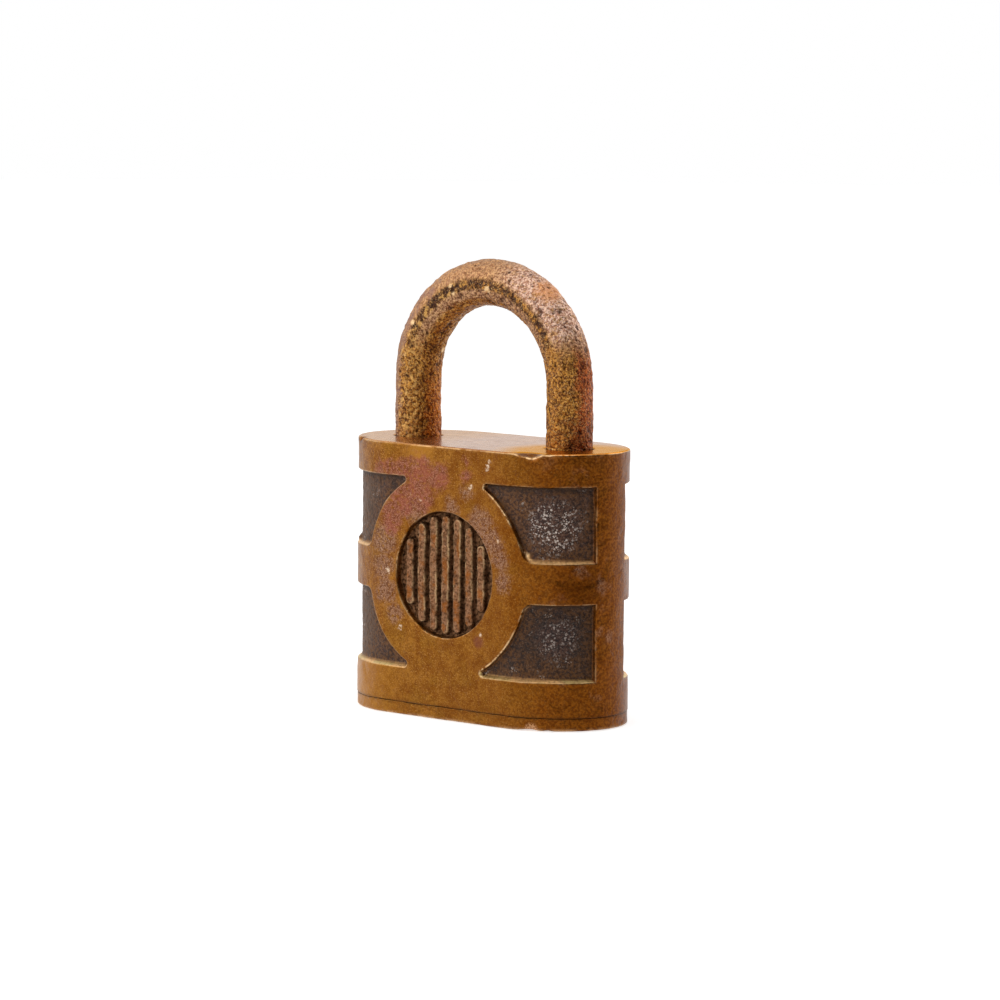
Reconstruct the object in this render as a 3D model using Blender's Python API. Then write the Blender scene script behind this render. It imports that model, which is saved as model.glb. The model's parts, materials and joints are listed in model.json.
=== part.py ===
"""Heavy cast padlock with a round medallion on each face, closed and unlocked.

The body stands on its base, +Z is up, the front faces -Y and the width runs along X.
The key plug is drawn in its locked position, pins towards -X, and its empty turns it open.
"""

import math

import bmesh
import bpy
from mathutils import Vector

# Body
BODY_WIDTH = 0.0734
BODY_THICKNESS = 0.0344
BODY_HEIGHT = 0.0635
END_LENGTH = 0.0195  # how far each rounded end reaches along X
EDGE_CHAMFER = 0.0005
BASE_THICKNESS = 0.0029

# Raised bands and sunk panels of both faces
PANEL_DEPTH = 0.0011
TOP_BAND = 0.0077
MIDDLE_BAND = 0.0096
BOTTOM_BAND = 0.0112
END_BAND = 0.0103
RING_RADIUS = 0.0240
RING_FILLET = 0.0015
MEDALLION_HEIGHT = 0.0337
RECESS_RADIUS = 0.0146
RECESS_DEPTH = 0.0015
RIB_WIDTH = 0.0021
RIB_PITCH = 0.0036
RIB_MARGIN = 0.0009
RIB_DROP = 0.0003

# Shackle
SHACKLE_DIAMETER = 0.0110
LEG_SPACING = 0.0462
ARCH_RISE = 0.0139  # straight legs above the body, up to the arch's centre
TOE_DEPTH = 0.0140
LIFT_MARGIN = 0.0005
LEG_CHAMFER = 0.0006
HEEL_COLLAR = 0.0045
HEEL_GROOVE_DEPTH = 0.0024
HEEL_GROOVE_SLACK = 0.0012  # groove height over the pin's diameter
HEEL_FLAT_DEPTH = 0.0023
HEEL_PIN_DIAMETER = 0.0030
HEEL_PIN_DROP = 0.0215  # below the body's top
HEEL_PIN_LENGTH = 0.0260

# Locking bolt and the cam that drives it
BOLT_ROOF = 0.0044  # body metal above the bolt's slot
BOLT_HEIGHT = 0.0046
BOLT_WIDTH = 0.0066
BOLT_TAIL = 0.0085
BOLT_TRAVEL = 0.0030
BOLT_CHAMFER = 0.0006
CAM_PIN_DIAMETER = 0.0022
CAM_PIN_SLACK = 0.0004
CAM_FLANGE_RADIUS = 0.0080
CAM_FLANGE_HEIGHT = 0.0020
CAM_SHAFT_EDGE = 0.00015  # shaft metal left outside the cam pin
CAM_SCREW_DIAMETER = 0.0014
CAM_SCREW_HEAD_RADIUS = 0.0012
CAM_SCREW_HEAD_HEIGHT = 0.0010
CAM_SCREW_DEPTH = 0.0040

# Key cylinder
BARREL_RADIUS = 0.0095
HOUSING_LENGTH = 0.0308
ARM_WIDTH = 0.0068
PLUG_DIAMETER = 0.0127
PLUG_FACE_RADIUS = 0.0075
PLUG_FACE_DEPTH = 0.0004
KEYWAY_WIDTH = 0.0024
KEYWAY_REACH = 0.0046
KEYWAY_WARD = 0.0007
KEYWAY_END_WALL = 0.0030
PIN_COUNT = 5
PIN_PITCH = 0.0042
FIRST_PIN_HEIGHT = 0.0090
PIN_DIAMETER = 0.0027
PIN_FLOOR = 0.00045
PIN_SET_BACK = 0.0002
KEY_PIN_LENGTHS = (0.0034, 0.0043, 0.0037, 0.0046, 0.0040)
DRIVER_LENGTH = 0.0040
STRIP_THICKNESS = 0.0011
STRIP_WIDTH = 0.0042
STRIP_MARGIN = 0.0026
SPRING_WIRE = 0.00044
SPRING_DIAMETER = 0.0024
SPRING_TURNS = 5
OPEN_TURN = math.radians(90)

# Base rivets
RIVET_FROM_END = 0.0082
RIVET_DIAMETER = 0.0030
RIVET_HEAD_RADIUS = 0.0024
RIVET_HEAD_HEIGHT = 0.0014
RIVET_LENGTH = 0.0138
RIVET_DROP = 0.0002

# Damage: place along X, then the half sizes of the missing metal along X, Y and Z
TOP_EDGE_DENT = (0.0255, (0.0036, 0.0012, 0.0009))
TOP_RIM_CHIP = (-0.0294, (0.0018, 0.0011, 0.0007))
BASE_EDGE_CHIP = (0.0255, (0.0030, 0.0008, 0.0009))

# Gaps and fineness
FIT_GAP = 0.0003
OVERSHOOT = 0.0010  # how far a cutter passes the surface that it opens
END_STEPS = 28
ROUND_STEPS = 40
PIN_STEPS = 16
BAR_STEPS = 28
ARCH_STEPS = 26
ARC_STEPS = 8
COIL_STEPS = 10
WIRE_STEPS = 5
NICK_ROWS = 6
SMOOTH_ANGLE = math.radians(35)

# Places that follow from the dimensions
HALF_THICKNESS = BODY_THICKNESS / 2
FLAT_HALF = BODY_WIDTH / 2 - END_LENGTH
CASE_BOTTOM = BASE_THICKNESS + FIT_GAP
BAR_RADIUS = SHACKLE_DIAMETER / 2
TOE_X = -LEG_SPACING / 2
HEEL_X = LEG_SPACING / 2
TOE_BOTTOM = BODY_HEIGHT - TOE_DEPTH
ARCH_CENTRE = BODY_HEIGHT + ARCH_RISE
SHACKLE_LIFT = TOE_DEPTH + LIFT_MARGIN
HEEL_PIN_RADIUS = HEEL_PIN_DIAMETER / 2
HEEL_PIN_HEIGHT = BODY_HEIGHT - HEEL_PIN_DROP
HEEL_FLAT_X = HEEL_X - BAR_RADIUS + HEEL_FLAT_DEPTH
HEEL_PIN_X = HEEL_FLAT_X - FIT_GAP - HEEL_PIN_RADIUS
HEEL_FLAT_TOP = HEEL_PIN_HEIGHT + HEEL_PIN_RADIUS + FIT_GAP
HEEL_FLAT_BOTTOM = HEEL_PIN_HEIGHT - HEEL_PIN_RADIUS - FIT_GAP - SHACKLE_LIFT
HEEL_GROOVE_TOP = HEEL_FLAT_BOTTOM + HEEL_PIN_DIAMETER + HEEL_GROOVE_SLACK
HEEL_BOTTOM = HEEL_FLAT_BOTTOM - HEEL_COLLAR
ARM_REACH = -TOE_X - BAR_RADIUS - FIT_GAP
HOUSING_TOP = CASE_BOTTOM + HOUSING_LENGTH
SPACER_BOTTOM = HOUSING_TOP + FIT_GAP
BOLT_TOP = BODY_HEIGHT - BOLT_ROOF - FIT_GAP
BOLT_BOTTOM = BOLT_TOP - BOLT_HEIGHT
SPACER_TOP = BOLT_BOTTOM - FIT_GAP
CAM_THROW = BOLT_TRAVEL / (2 * math.sin(OPEN_TURN / 2))
CAM_PIN_RADIUS = CAM_PIN_DIAMETER / 2
CAM_SHAFT_RADIUS = CAM_THROW + CAM_PIN_RADIUS + CAM_SHAFT_EDGE
CAM_SCREW_CIRCLE = CAM_SHAFT_RADIUS + FIT_GAP + CAM_SCREW_HEAD_RADIUS
CAM_PIN_REST = OPEN_TURN / 2 - math.pi / 2  # angle of the cam pin when open
CAM_FLANGE_TOP = SPACER_BOTTOM + CAM_FLANGE_HEIGHT
CAM_SCREW_SEAT = CAM_FLANGE_TOP + FIT_GAP
COUNTERBORE_TOP = CAM_SCREW_SEAT + CAM_SCREW_HEAD_HEIGHT + FIT_GAP
PLUG_RADIUS = PLUG_DIAMETER / 2
PIN_RADIUS = PIN_DIAMETER / 2
PIN_HEIGHTS = [FIRST_PIN_HEIGHT + PIN_PITCH * index for index in range(PIN_COUNT)]
DRIVER_START = PLUG_RADIUS + FIT_GAP
SPRING_START = DRIVER_START + DRIVER_LENGTH + FIT_GAP
STRIP_START = ARM_REACH - STRIP_THICKNESS
SPRING_END = STRIP_START - FIT_GAP
RIVET_X = BODY_WIDTH / 2 - RIVET_FROM_END


def clear_scene():
    for obj in list(bpy.data.objects):
        bpy.data.objects.remove(obj)


# Materials
def metal(name, colour, roughness):
    material = bpy.data.materials.new(name)
    material.use_nodes = True
    shader = material.node_tree.nodes["Principled BSDF"]
    shader.inputs["Base Color"].default_value = (*colour, 1.0)
    shader.inputs["Roughness"].default_value = roughness
    shader.inputs["Metallic"].default_value = 1.0
    material.diffuse_color = (*colour, 1.0)
    return material


# Outlines, as lists of points in a plane
def arc(centre, radius, start, end, steps):
    """Points from one angle to the other, both ends included."""
    points = []
    for step in range(steps + 1):
        angle = start + (end - start) * step / steps
        points.append((centre[0] + radius * math.cos(angle), centre[1] + radius * math.sin(angle)))
    return points


def circle(radius, steps, centre=(0.0, 0.0)):
    return arc(centre, radius, 0.0, 2 * math.pi, steps)[:-1]


def body_outline(inset=0.0):
    """The body in plan: flat faces joined by half ellipses."""
    points = []
    for side in (1, -1):
        for step in range(END_STEPS + 1):
            angle = -math.pi / 2 + math.pi * step / END_STEPS
            x = FLAT_HALF + (END_LENGTH - inset) * math.cos(angle)
            y = (HALF_THICKNESS - inset) * math.sin(angle)
            points.append((side * x, side * y))
    return points


def rim_depth(x):
    """How far the body's face lies from its middle plane at this x."""
    past_flat = max(abs(x) - FLAT_HALF, 0.0) / END_LENGTH
    return HALF_THICKNESS * math.sqrt(max(1 - past_flat**2, 0.0))


def keyhole_outline(radius, arm_half, reach):
    """A round barrel with a straight arm that runs towards -X."""
    start = math.asin(arm_half / radius)
    points = arc((0.0, 0.0), radius, -math.pi + start, math.pi - start, ROUND_STEPS)
    return [*points, (-reach, arm_half), (-reach, -arm_half)]


def raised_figure():
    """The medallion ring and the middle band, from the medallion's centre, with filleted corners."""
    near = MIDDLE_BAND / 2
    fillet_z = near + RING_FILLET
    fillet_x = math.sqrt((RING_RADIUS + RING_FILLET) ** 2 - fillet_z**2)
    meet = math.atan2(fillet_z, fillet_x)
    reach = BODY_WIDTH / 2 + OVERSHOOT
    corner = arc((fillet_x, fillet_z), RING_FILLET, -math.pi / 2, meet - math.pi, ARC_STEPS)
    over_top = arc((0.0, 0.0), RING_RADIUS, meet, math.pi - meet, ROUND_STEPS)[1:-1]
    mirrored = [(-x, z) for x, z in reversed(corner)]
    upper = [(reach, near), *corner, *over_top, *mirrored, (-reach, near)]
    return upper + [(x, -z) for x, z in reversed(upper)]


def rib_outline(x, half_height):
    """One upright rib with round ends."""
    half = RIB_WIDTH / 2
    top = arc((x, half_height - half), half, 0.0, math.pi, ARC_STEPS)
    bottom = arc((x, half - half_height), half, math.pi, 2 * math.pi, ARC_STEPS)
    return top + bottom


# Meshes
def axis_point(axis, u, v, along):
    """A point of a plane outline, placed at a distance along an axis."""
    if axis == "X":
        return (along, u, v)
    if axis == "Y":
        return (u, along, v)
    return (u, v, along)


def add_stack(mesh, layers, axis="Z"):
    """Joins outlines with equal point counts, given as (distance, points), and caps both ends."""
    rings = [
        [mesh.verts.new(axis_point(axis, u, v, along)) for u, v in points] for along, points in layers
    ]
    count = len(rings[0])
    for lower, upper in zip(rings, rings[1:]):
        for i in range(count):
            j = (i + 1) % count
            mesh.faces.new((lower[i], lower[j], upper[j], upper[i]))
    mesh.faces.new(list(reversed(rings[0])))
    mesh.faces.new(rings[-1])


def add_prism(mesh, points, low, high, axis="Z"):
    add_stack(mesh, [(low, points), (high, points)], axis)


def add_box(mesh, low, high):
    outline = [(low[0], low[1]), (high[0], low[1]), (high[0], high[1]), (low[0], high[1])]
    add_prism(mesh, outline, low[2], high[2])


def add_turned(mesh, profile, steps, axis="Z", centre=(0.0, 0.0)):
    """A round piece from (radius, distance) points."""
    add_stack(mesh, [(along, circle(radius, steps, centre)) for radius, along in profile], axis)


def add_ring(mesh, inner, outer, low, high, steps, centre):
    """A round ring with a square section."""
    section = [(inner, low), (outer, low), (outer, high), (inner, high)]
    rows = []
    for radius, height in section:
        rows.append([mesh.verts.new((x, y, height)) for x, y in circle(radius, steps, centre)])
    for k in range(len(rows)):
        row, following = rows[k], rows[(k + 1) % len(rows)]
        for i in range(steps):
            j = (i + 1) % steps
            mesh.faces.new((row[i], row[j], following[j], following[i]))


def add_tube(mesh, path, frames, radii, steps):
    """A round bar along a path. Each frame holds two unit vectors across the path."""
    rings = []
    for point, (across, aside), radius in zip(path, frames, radii):
        ring = []
        for u, v in circle(radius, steps):
            ring.append(mesh.verts.new(Vector(point) + Vector(across) * u + Vector(aside) * v))
        rings.append(ring)
    for lower, upper in zip(rings, rings[1:]):
        for i in range(steps):
            j = (i + 1) % steps
            mesh.faces.new((lower[i], lower[j], upper[j], upper[i]))
    mesh.faces.new(list(reversed(rings[0])))
    mesh.faces.new(rings[-1])


def add_ellipsoid(mesh, centre, radii):
    """A rounded bite, used to take a nick out of an edge."""
    profile = []
    for row in range(1, NICK_ROWS):
        angle = -math.pi / 2 + math.pi * row / NICK_ROWS
        outline = [
            (centre[0] + radii[0] * math.cos(angle) * u, centre[1] + radii[1] * math.cos(angle) * v)
            for u, v in circle(1.0, PIN_STEPS)
        ]
        profile.append((centre[2] + radii[2] * math.sin(angle), outline))
    add_stack(mesh, profile)


# Objects
def make_object(name, mesh, material=None, parent=None, location=(0.0, 0.0, 0.0)):
    """Turns the mesh built in the parent's axes into an object whose origin is at the location."""
    bmesh.ops.translate(mesh, verts=mesh.verts, vec=-Vector(location))
    bmesh.ops.recalc_face_normals(mesh, faces=mesh.faces)
    data = bpy.data.meshes.new(name)
    mesh.to_mesh(data)
    mesh.free()
    data.shade_smooth()
    data.set_sharp_from_angle(angle=SMOOTH_ANGLE)
    obj = bpy.data.objects.new(name, data)
    bpy.context.scene.collection.objects.link(obj)
    obj.parent = parent
    obj.location = location
    if material:
        data.materials.append(material)
    return obj


def make_cutter(name, mesh, parent=None):
    cutter = make_object(name, mesh, parent=parent)
    cutter.hide_render = True
    cutter.display_type = "WIRE"
    return cutter


def cut(obj, *cutters):
    for cutter in cutters:
        modifier = obj.modifiers.new("cut " + cutter.name, "BOOLEAN")
        modifier.operation = "DIFFERENCE"
        modifier.solver = "EXACT"
        modifier.object = cutter
    return obj


def make_empty(name, location=(0.0, 0.0, 0.0), turn=0.0):
    empty = bpy.data.objects.new(name, None)
    bpy.context.scene.collection.objects.link(empty)
    empty.location = location
    empty.rotation_euler = (0.0, 0.0, turn)
    return empty


# Cutters of the body
def panel_cutter():
    """The metal that is missing between the bands, on both faces and round the ends."""
    reach = BODY_WIDTH / 2 + OVERSHOOT
    outside = HALF_THICKNESS + OVERSHOOT
    top = BODY_HEIGHT - TOP_BAND
    sheets = bmesh.new()
    add_box(sheets, (-reach, -outside, BOTTOM_BAND), (reach, -END_BAND / 2, top))
    add_box(sheets, (-reach, END_BAND / 2, BOTTOM_BAND), (reach, outside, top))
    figure = bmesh.new()
    outline = [(x, z + MEDALLION_HEIGHT) for x, z in raised_figure()]
    add_prism(figure, outline, -outside - OVERSHOOT, outside + OVERSHOOT, "Y")
    core = bmesh.new()
    add_prism(core, body_outline(PANEL_DEPTH), -OVERSHOOT, BODY_HEIGHT + OVERSHOOT)
    return cut(
        make_cutter("panel_space", sheets),
        make_cutter("panel_figure", figure),
        make_cutter("panel_core", core),
    )


def medallion_cutter():
    """The round recess of each face, with the plain upright ribs left standing in it."""
    recess = bmesh.new()
    ribs = bmesh.new()
    middle = (0.0, MEDALLION_HEIGHT)
    floor = HALF_THICKNESS - RECESS_DEPTH
    clear = RECESS_RADIUS - RIB_MARGIN
    ribs_each_side = int((clear - RIB_WIDTH) / RIB_PITCH)
    for side in (1, -1):
        outside = side * (HALF_THICKNESS + OVERSHOOT)
        profile = [(RECESS_RADIUS, side * floor), (RECESS_RADIUS, outside)]
        add_turned(recess, profile, ROUND_STEPS, "Y", middle)
        for index in range(-ribs_each_side, ribs_each_side + 1):
            x = index * RIB_PITCH
            outline = [(u, v + MEDALLION_HEIGHT) for u, v in rib_outline(x, math.sqrt(clear**2 - x**2))]
            face = side * (HALF_THICKNESS - RIB_DROP)
            add_prism(ribs, outline, side * (floor - OVERSHOOT), face, "Y")
    return cut(make_cutter("medallion_space", recess), make_cutter("medallion_ribs", ribs))


def cylinder_cavity():
    mesh = bmesh.new()
    outline = keyhole_outline(BARREL_RADIUS + FIT_GAP, ARM_WIDTH / 2 + FIT_GAP, ARM_REACH + FIT_GAP)
    add_prism(mesh, outline, CASE_BOTTOM - OVERSHOOT, SPACER_TOP + FIT_GAP)
    return make_cutter("cylinder_cavity", mesh)


def bolt_slot():
    mesh = bmesh.new()
    half = BOLT_WIDTH / 2 + FIT_GAP
    add_box(mesh, (TOE_X, -half, SPACER_TOP), (BOLT_TAIL + FIT_GAP, half, BOLT_TOP + FIT_GAP))
    return make_cutter("bolt_slot", mesh)


def leg_hole(name, x, bottom):
    mesh = bmesh.new()
    radius = BAR_RADIUS + FIT_GAP
    profile = [(radius, bottom - FIT_GAP), (radius, BODY_HEIGHT + OVERSHOOT)]
    add_turned(mesh, profile, BAR_STEPS, "Z", (x, 0.0))
    return make_cutter(name, mesh)


def heel_pin_hole():
    mesh = bmesh.new()
    radius = HEEL_PIN_RADIUS + FIT_GAP
    middle = (HEEL_PIN_X, HEEL_PIN_HEIGHT)
    far_end = heel_pin_face() - HEEL_PIN_LENGTH - FIT_GAP
    add_turned(mesh, [(radius, far_end), (radius, HALF_THICKNESS + OVERSHOOT)], PIN_STEPS, "Y", middle)
    return make_cutter("heel_pin_hole", mesh)


def heel_pin_face():
    """The pin is ground off just below the back face."""
    return rim_depth(HEEL_PIN_X + HEEL_PIN_RADIUS) - RIVET_DROP


def rivet_hole(name, x):
    mesh = bmesh.new()
    profile = [
        (RIVET_HEAD_RADIUS + FIT_GAP, -OVERSHOOT),
        (RIVET_HEAD_RADIUS + FIT_GAP, RIVET_DROP),
        (RIVET_DIAMETER / 2 + FIT_GAP, RIVET_DROP + RIVET_HEAD_HEIGHT),
        (RIVET_DIAMETER / 2 + FIT_GAP, RIVET_DROP + RIVET_LENGTH + FIT_GAP),
    ]
    add_turned(mesh, profile, PIN_STEPS, "Z", (x, 0.0))
    return make_cutter(name, mesh)


def nick(name, damage, height):
    """A bite out of the front rim at this height."""
    x, radii = damage
    mesh = bmesh.new()
    add_ellipsoid(mesh, (x, -rim_depth(x), height), radii)
    return make_cutter(name, mesh)


# Body and base
def make_case_body(rivet_holes):
    mesh = bmesh.new()
    layers = [
        (CASE_BOTTOM, body_outline()),
        (BODY_HEIGHT - EDGE_CHAMFER, body_outline()),
        (BODY_HEIGHT, body_outline(EDGE_CHAMFER)),
    ]
    add_stack(mesh, layers)
    case = make_object("case_body", mesh, metal("weathered bronze", (0.42, 0.22, 0.07), 0.42))
    return cut(
        case,
        panel_cutter(),
        medallion_cutter(),
        cylinder_cavity(),
        bolt_slot(),
        leg_hole("toe_hole", TOE_X, TOE_BOTTOM),
        leg_hole("heel_hole", HEEL_X, HEEL_BOTTOM),
        heel_pin_hole(),
        *rivet_holes,
        nick("top_edge_dent", TOP_EDGE_DENT, BODY_HEIGHT),
        nick("top_rim_chip", TOP_RIM_CHIP, BODY_HEIGHT),
    )


def make_base_plate(rivet_holes):
    mesh = bmesh.new()
    layers = [
        (0.0, body_outline(EDGE_CHAMFER)),
        (EDGE_CHAMFER, body_outline()),
        (BASE_THICKNESS, body_outline()),
    ]
    add_stack(mesh, layers)
    plate = make_object("base_plate", mesh, metal("base bronze", (0.38, 0.20, 0.07), 0.45))
    opening = bmesh.new()
    radius = PLUG_FACE_RADIUS + FIT_GAP
    add_turned(opening, [(radius, -OVERSHOOT), (radius, BASE_THICKNESS + OVERSHOOT)], ROUND_STEPS)
    plug_opening = make_cutter("plug_opening", opening)
    return cut(plate, plug_opening, *rivet_holes, nick("base_edge_chip", BASE_EDGE_CHIP, 0.0))


def make_rivet(name, x):
    mesh = bmesh.new()
    radius = RIVET_DIAMETER / 2
    tip = RIVET_DROP + RIVET_LENGTH
    profile = [
        (RIVET_HEAD_RADIUS, RIVET_DROP),
        (radius, RIVET_DROP + RIVET_HEAD_HEIGHT),
        (radius, tip - FIT_GAP),
        (radius - FIT_GAP, tip),
    ]
    add_turned(mesh, profile, PIN_STEPS, "Z", (x, 0.0))
    return make_object(name, mesh, metal(name + " metal", (0.45, 0.30, 0.14), 0.40), location=(x, 0.0, 0.0))


# Shackle
def shackle_path():
    """Centre points, frames and radii of the bar, from the heel's end over the arch to the toe's."""
    path = []
    radii = []
    frames = []

    def add_point(centre, outward, radius=BAR_RADIUS):
        path.append(centre)
        frames.append((-outward, Vector((0.0, 1.0, 0.0))))
        radii.append(radius)

    def add_leg(x, outward, stops):
        for height, radius in stops:
            add_point(Vector((x, 0.0, height)), outward, radius)

    heel_stops = [
        (HEEL_BOTTOM, BAR_RADIUS - LEG_CHAMFER),
        (HEEL_BOTTOM + LEG_CHAMFER, BAR_RADIUS),
        (BODY_HEIGHT, BAR_RADIUS),
    ]
    toe_stops = [
        (BODY_HEIGHT, BAR_RADIUS),
        (TOE_BOTTOM + LEG_CHAMFER, BAR_RADIUS),
        (TOE_BOTTOM, BAR_RADIUS - LEG_CHAMFER),
    ]
    add_leg(HEEL_X, Vector((1.0, 0.0, 0.0)), heel_stops)
    for step in range(ARCH_STEPS + 1):
        angle = math.pi * step / ARCH_STEPS
        outward = Vector((math.cos(angle), 0.0, math.sin(angle)))
        add_point(Vector((0.0, 0.0, ARCH_CENTRE)) + outward * (LEG_SPACING / 2), outward)
    add_leg(TOE_X, Vector((-1.0, 0.0, 0.0)), toe_stops)
    return path, frames, radii


def toe_notch():
    """The bolt's nose enters here, in the toe's inner side."""
    mesh = bmesh.new()
    inner = TOE_X + BAR_RADIUS
    floor = inner - BOLT_TRAVEL
    low = (floor, -BAR_RADIUS - OVERSHOOT, BOLT_BOTTOM - FIT_GAP)
    high = (inner + OVERSHOOT, BAR_RADIUS + OVERSHOOT, BOLT_TOP + FIT_GAP)
    add_box(mesh, low, high)
    return make_cutter("toe_notch", mesh)


def heel_flat():
    """The flat along which the heel pin rides while the shackle lifts."""
    mesh = bmesh.new()
    low = (HEEL_X - BAR_RADIUS - OVERSHOOT, -BAR_RADIUS - OVERSHOOT, HEEL_FLAT_BOTTOM)
    high = (HEEL_FLAT_X, BAR_RADIUS + OVERSHOOT, HEEL_FLAT_TOP)
    add_box(mesh, low, high)
    return make_cutter("heel_flat", mesh)


def heel_groove():
    """The round groove that lets the lifted shackle swing round the heel pin."""
    mesh = bmesh.new()
    inner = BAR_RADIUS - HEEL_GROOVE_DEPTH
    outer = BAR_RADIUS + OVERSHOOT
    add_ring(mesh, inner, outer, HEEL_FLAT_BOTTOM, HEEL_GROOVE_TOP, BAR_STEPS, (HEEL_X, 0.0))
    return make_cutter("heel_groove", mesh)


def make_shackle():
    mesh = bmesh.new()
    path, frames, radii = shackle_path()
    add_tube(mesh, path, frames, radii, BAR_STEPS)
    origin = (HEEL_X, 0.0, BODY_HEIGHT)
    shackle = make_object("shackle", mesh, metal("pitted bronze", (0.45, 0.27, 0.10), 0.50), location=origin)
    return cut(shackle, toe_notch(), heel_flat(), heel_groove())


def make_heel_pin():
    mesh = bmesh.new()
    face = heel_pin_face()
    middle = (HEEL_PIN_X, HEEL_PIN_HEIGHT)
    profile = [(HEEL_PIN_RADIUS, face - HEEL_PIN_LENGTH), (HEEL_PIN_RADIUS, face)]
    add_turned(mesh, profile, PIN_STEPS, "Y", middle)
    origin = (HEEL_PIN_X, 0.0, HEEL_PIN_HEIGHT)
    return make_object("heel_pin", mesh, metal("heel pin metal", (0.40, 0.24, 0.10), 0.45), location=origin)


# Locking bolt
def make_locking_bolt():
    """Drawn back at rest. Its side slot follows the cam pin."""
    mesh = bmesh.new()
    nose = TOE_X + BAR_RADIUS + FIT_GAP
    half = BOLT_WIDTH / 2
    outline = [
        (nose, -half + BOLT_CHAMFER),
        (nose + BOLT_CHAMFER, -half),
        (BOLT_TAIL, -half),
        (BOLT_TAIL, half),
        (nose + BOLT_CHAMFER, half),
        (nose, half - BOLT_CHAMFER),
    ]
    add_prism(mesh, outline, BOLT_BOTTOM, BOLT_TOP)
    origin = ((nose + BOLT_TAIL) / 2, 0.0, (BOLT_BOTTOM + BOLT_TOP) / 2)
    bolt = make_object("locking_bolt", mesh, metal("bolt brass", (0.60, 0.44, 0.20), 0.38), location=origin)
    slot = bmesh.new()
    pin_x = CAM_THROW * math.cos(CAM_PIN_REST)
    pin_y = CAM_THROW * math.sin(CAM_PIN_REST)
    slot_half = CAM_PIN_RADIUS + CAM_PIN_SLACK
    low = (pin_x - slot_half, -half - OVERSHOOT, BOLT_BOTTOM - OVERSHOOT)
    high = (pin_x + slot_half, pin_y + slot_half, BOLT_TOP + OVERSHOOT)
    add_box(slot, low, high)
    return cut(bolt, make_cutter("cam_pin_slot", slot))


# Key cylinder, which stays in the case
def make_cylinder_housing():
    mesh = bmesh.new()
    add_prism(mesh, keyhole_outline(BARREL_RADIUS, ARM_WIDTH / 2, ARM_REACH), CASE_BOTTOM, HOUSING_TOP)
    housing = make_object("cylinder_housing", mesh, metal("housing brass", (0.62, 0.46, 0.20), 0.35))
    bore = bmesh.new()
    radius = PLUG_RADIUS + FIT_GAP
    add_turned(bore, [(radius, CASE_BOTTOM - OVERSHOOT), (radius, HOUSING_TOP + OVERSHOOT)], ROUND_STEPS)
    chambers = bmesh.new()
    for height in PIN_HEIGHTS:
        profile = [(PIN_RADIUS + FIT_GAP, -ARM_REACH - OVERSHOOT), (PIN_RADIUS + FIT_GAP, -PIN_DIAMETER)]
        add_turned(chambers, profile, PIN_STEPS, "X", (0.0, height))
    pocket = bmesh.new()
    half = STRIP_WIDTH / 2 + FIT_GAP
    low = (-ARM_REACH - OVERSHOOT, -half, strip_bottom() - FIT_GAP)
    high = (-STRIP_START + FIT_GAP, half, strip_top() + FIT_GAP)
    add_box(pocket, low, high)
    return cut(
        housing,
        make_cutter("plug_bore", bore),
        make_cutter("pin_chambers", chambers),
        make_cutter("strip_pocket", pocket),
    )


def strip_bottom():
    return PIN_HEIGHTS[0] - STRIP_MARGIN


def strip_top():
    return PIN_HEIGHTS[-1] + STRIP_MARGIN


def make_chamber_strip():
    mesh = bmesh.new()
    half = STRIP_WIDTH / 2
    add_box(mesh, (-ARM_REACH, -half, strip_bottom()), (-STRIP_START, half, strip_top()))
    return make_object("chamber_strip", mesh, metal("strip brass", (0.66, 0.50, 0.24), 0.35))


def make_driver_pin(index, height):
    mesh = bmesh.new()
    end = DRIVER_START + DRIVER_LENGTH
    edge = PIN_SET_BACK
    profile = [
        (PIN_RADIUS - edge, -end),
        (PIN_RADIUS, -end + edge),
        (PIN_RADIUS, -DRIVER_START - edge),
        (PIN_RADIUS - edge, -DRIVER_START),
    ]
    add_turned(mesh, profile, PIN_STEPS, "X", (0.0, height))
    name = f"driver_pin_{index}"
    material = metal(name + " brass", (0.65, 0.50, 0.25), 0.30)
    return make_object(name, mesh, material, location=(-end, 0.0, height))


def make_pin_spring(index, height):
    mesh = bmesh.new()
    wire = SPRING_WIRE / 2
    coil = SPRING_DIAMETER / 2 - wire
    start = SPRING_START + wire
    length = SPRING_END - wire - start
    count = SPRING_TURNS * COIL_STEPS
    path = []
    frames = []
    for step in range(count + 1):
        angle = 2 * math.pi * step / COIL_STEPS
        outward = Vector((0.0, math.cos(angle), math.sin(angle)))
        path.append(Vector((-start - length * step / count, 0.0, height)) + outward * coil)
        frames.append((outward, Vector((-1.0, 0.0, 0.0))))
    add_tube(mesh, path, frames, [wire] * len(path), WIRE_STEPS)
    name = f"pin_spring_{index}"
    material = metal(name + " steel", (0.55, 0.55, 0.53), 0.30)
    return make_object(name, mesh, material, location=(-SPRING_END, 0.0, height))


def make_spacer_block():
    """Fills the cavity between the cylinder and the bolt, and carries the cam shaft."""
    mesh = bmesh.new()
    add_prism(mesh, keyhole_outline(BARREL_RADIUS, ARM_WIDTH / 2, ARM_REACH), SPACER_BOTTOM, SPACER_TOP)
    spacer = make_object("spacer_block", mesh, metal("spacer brass", (0.55, 0.40, 0.18), 0.45))
    bore = bmesh.new()
    wide = CAM_FLANGE_RADIUS + FIT_GAP
    narrow = CAM_SHAFT_RADIUS + FIT_GAP
    profile = [
        (wide, SPACER_BOTTOM - OVERSHOOT),
        (wide, COUNTERBORE_TOP),
        (narrow, COUNTERBORE_TOP),
        (narrow, SPACER_TOP + OVERSHOOT),
    ]
    add_turned(bore, profile, ROUND_STEPS)
    return cut(spacer, make_cutter("cam_bore", bore))


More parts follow.
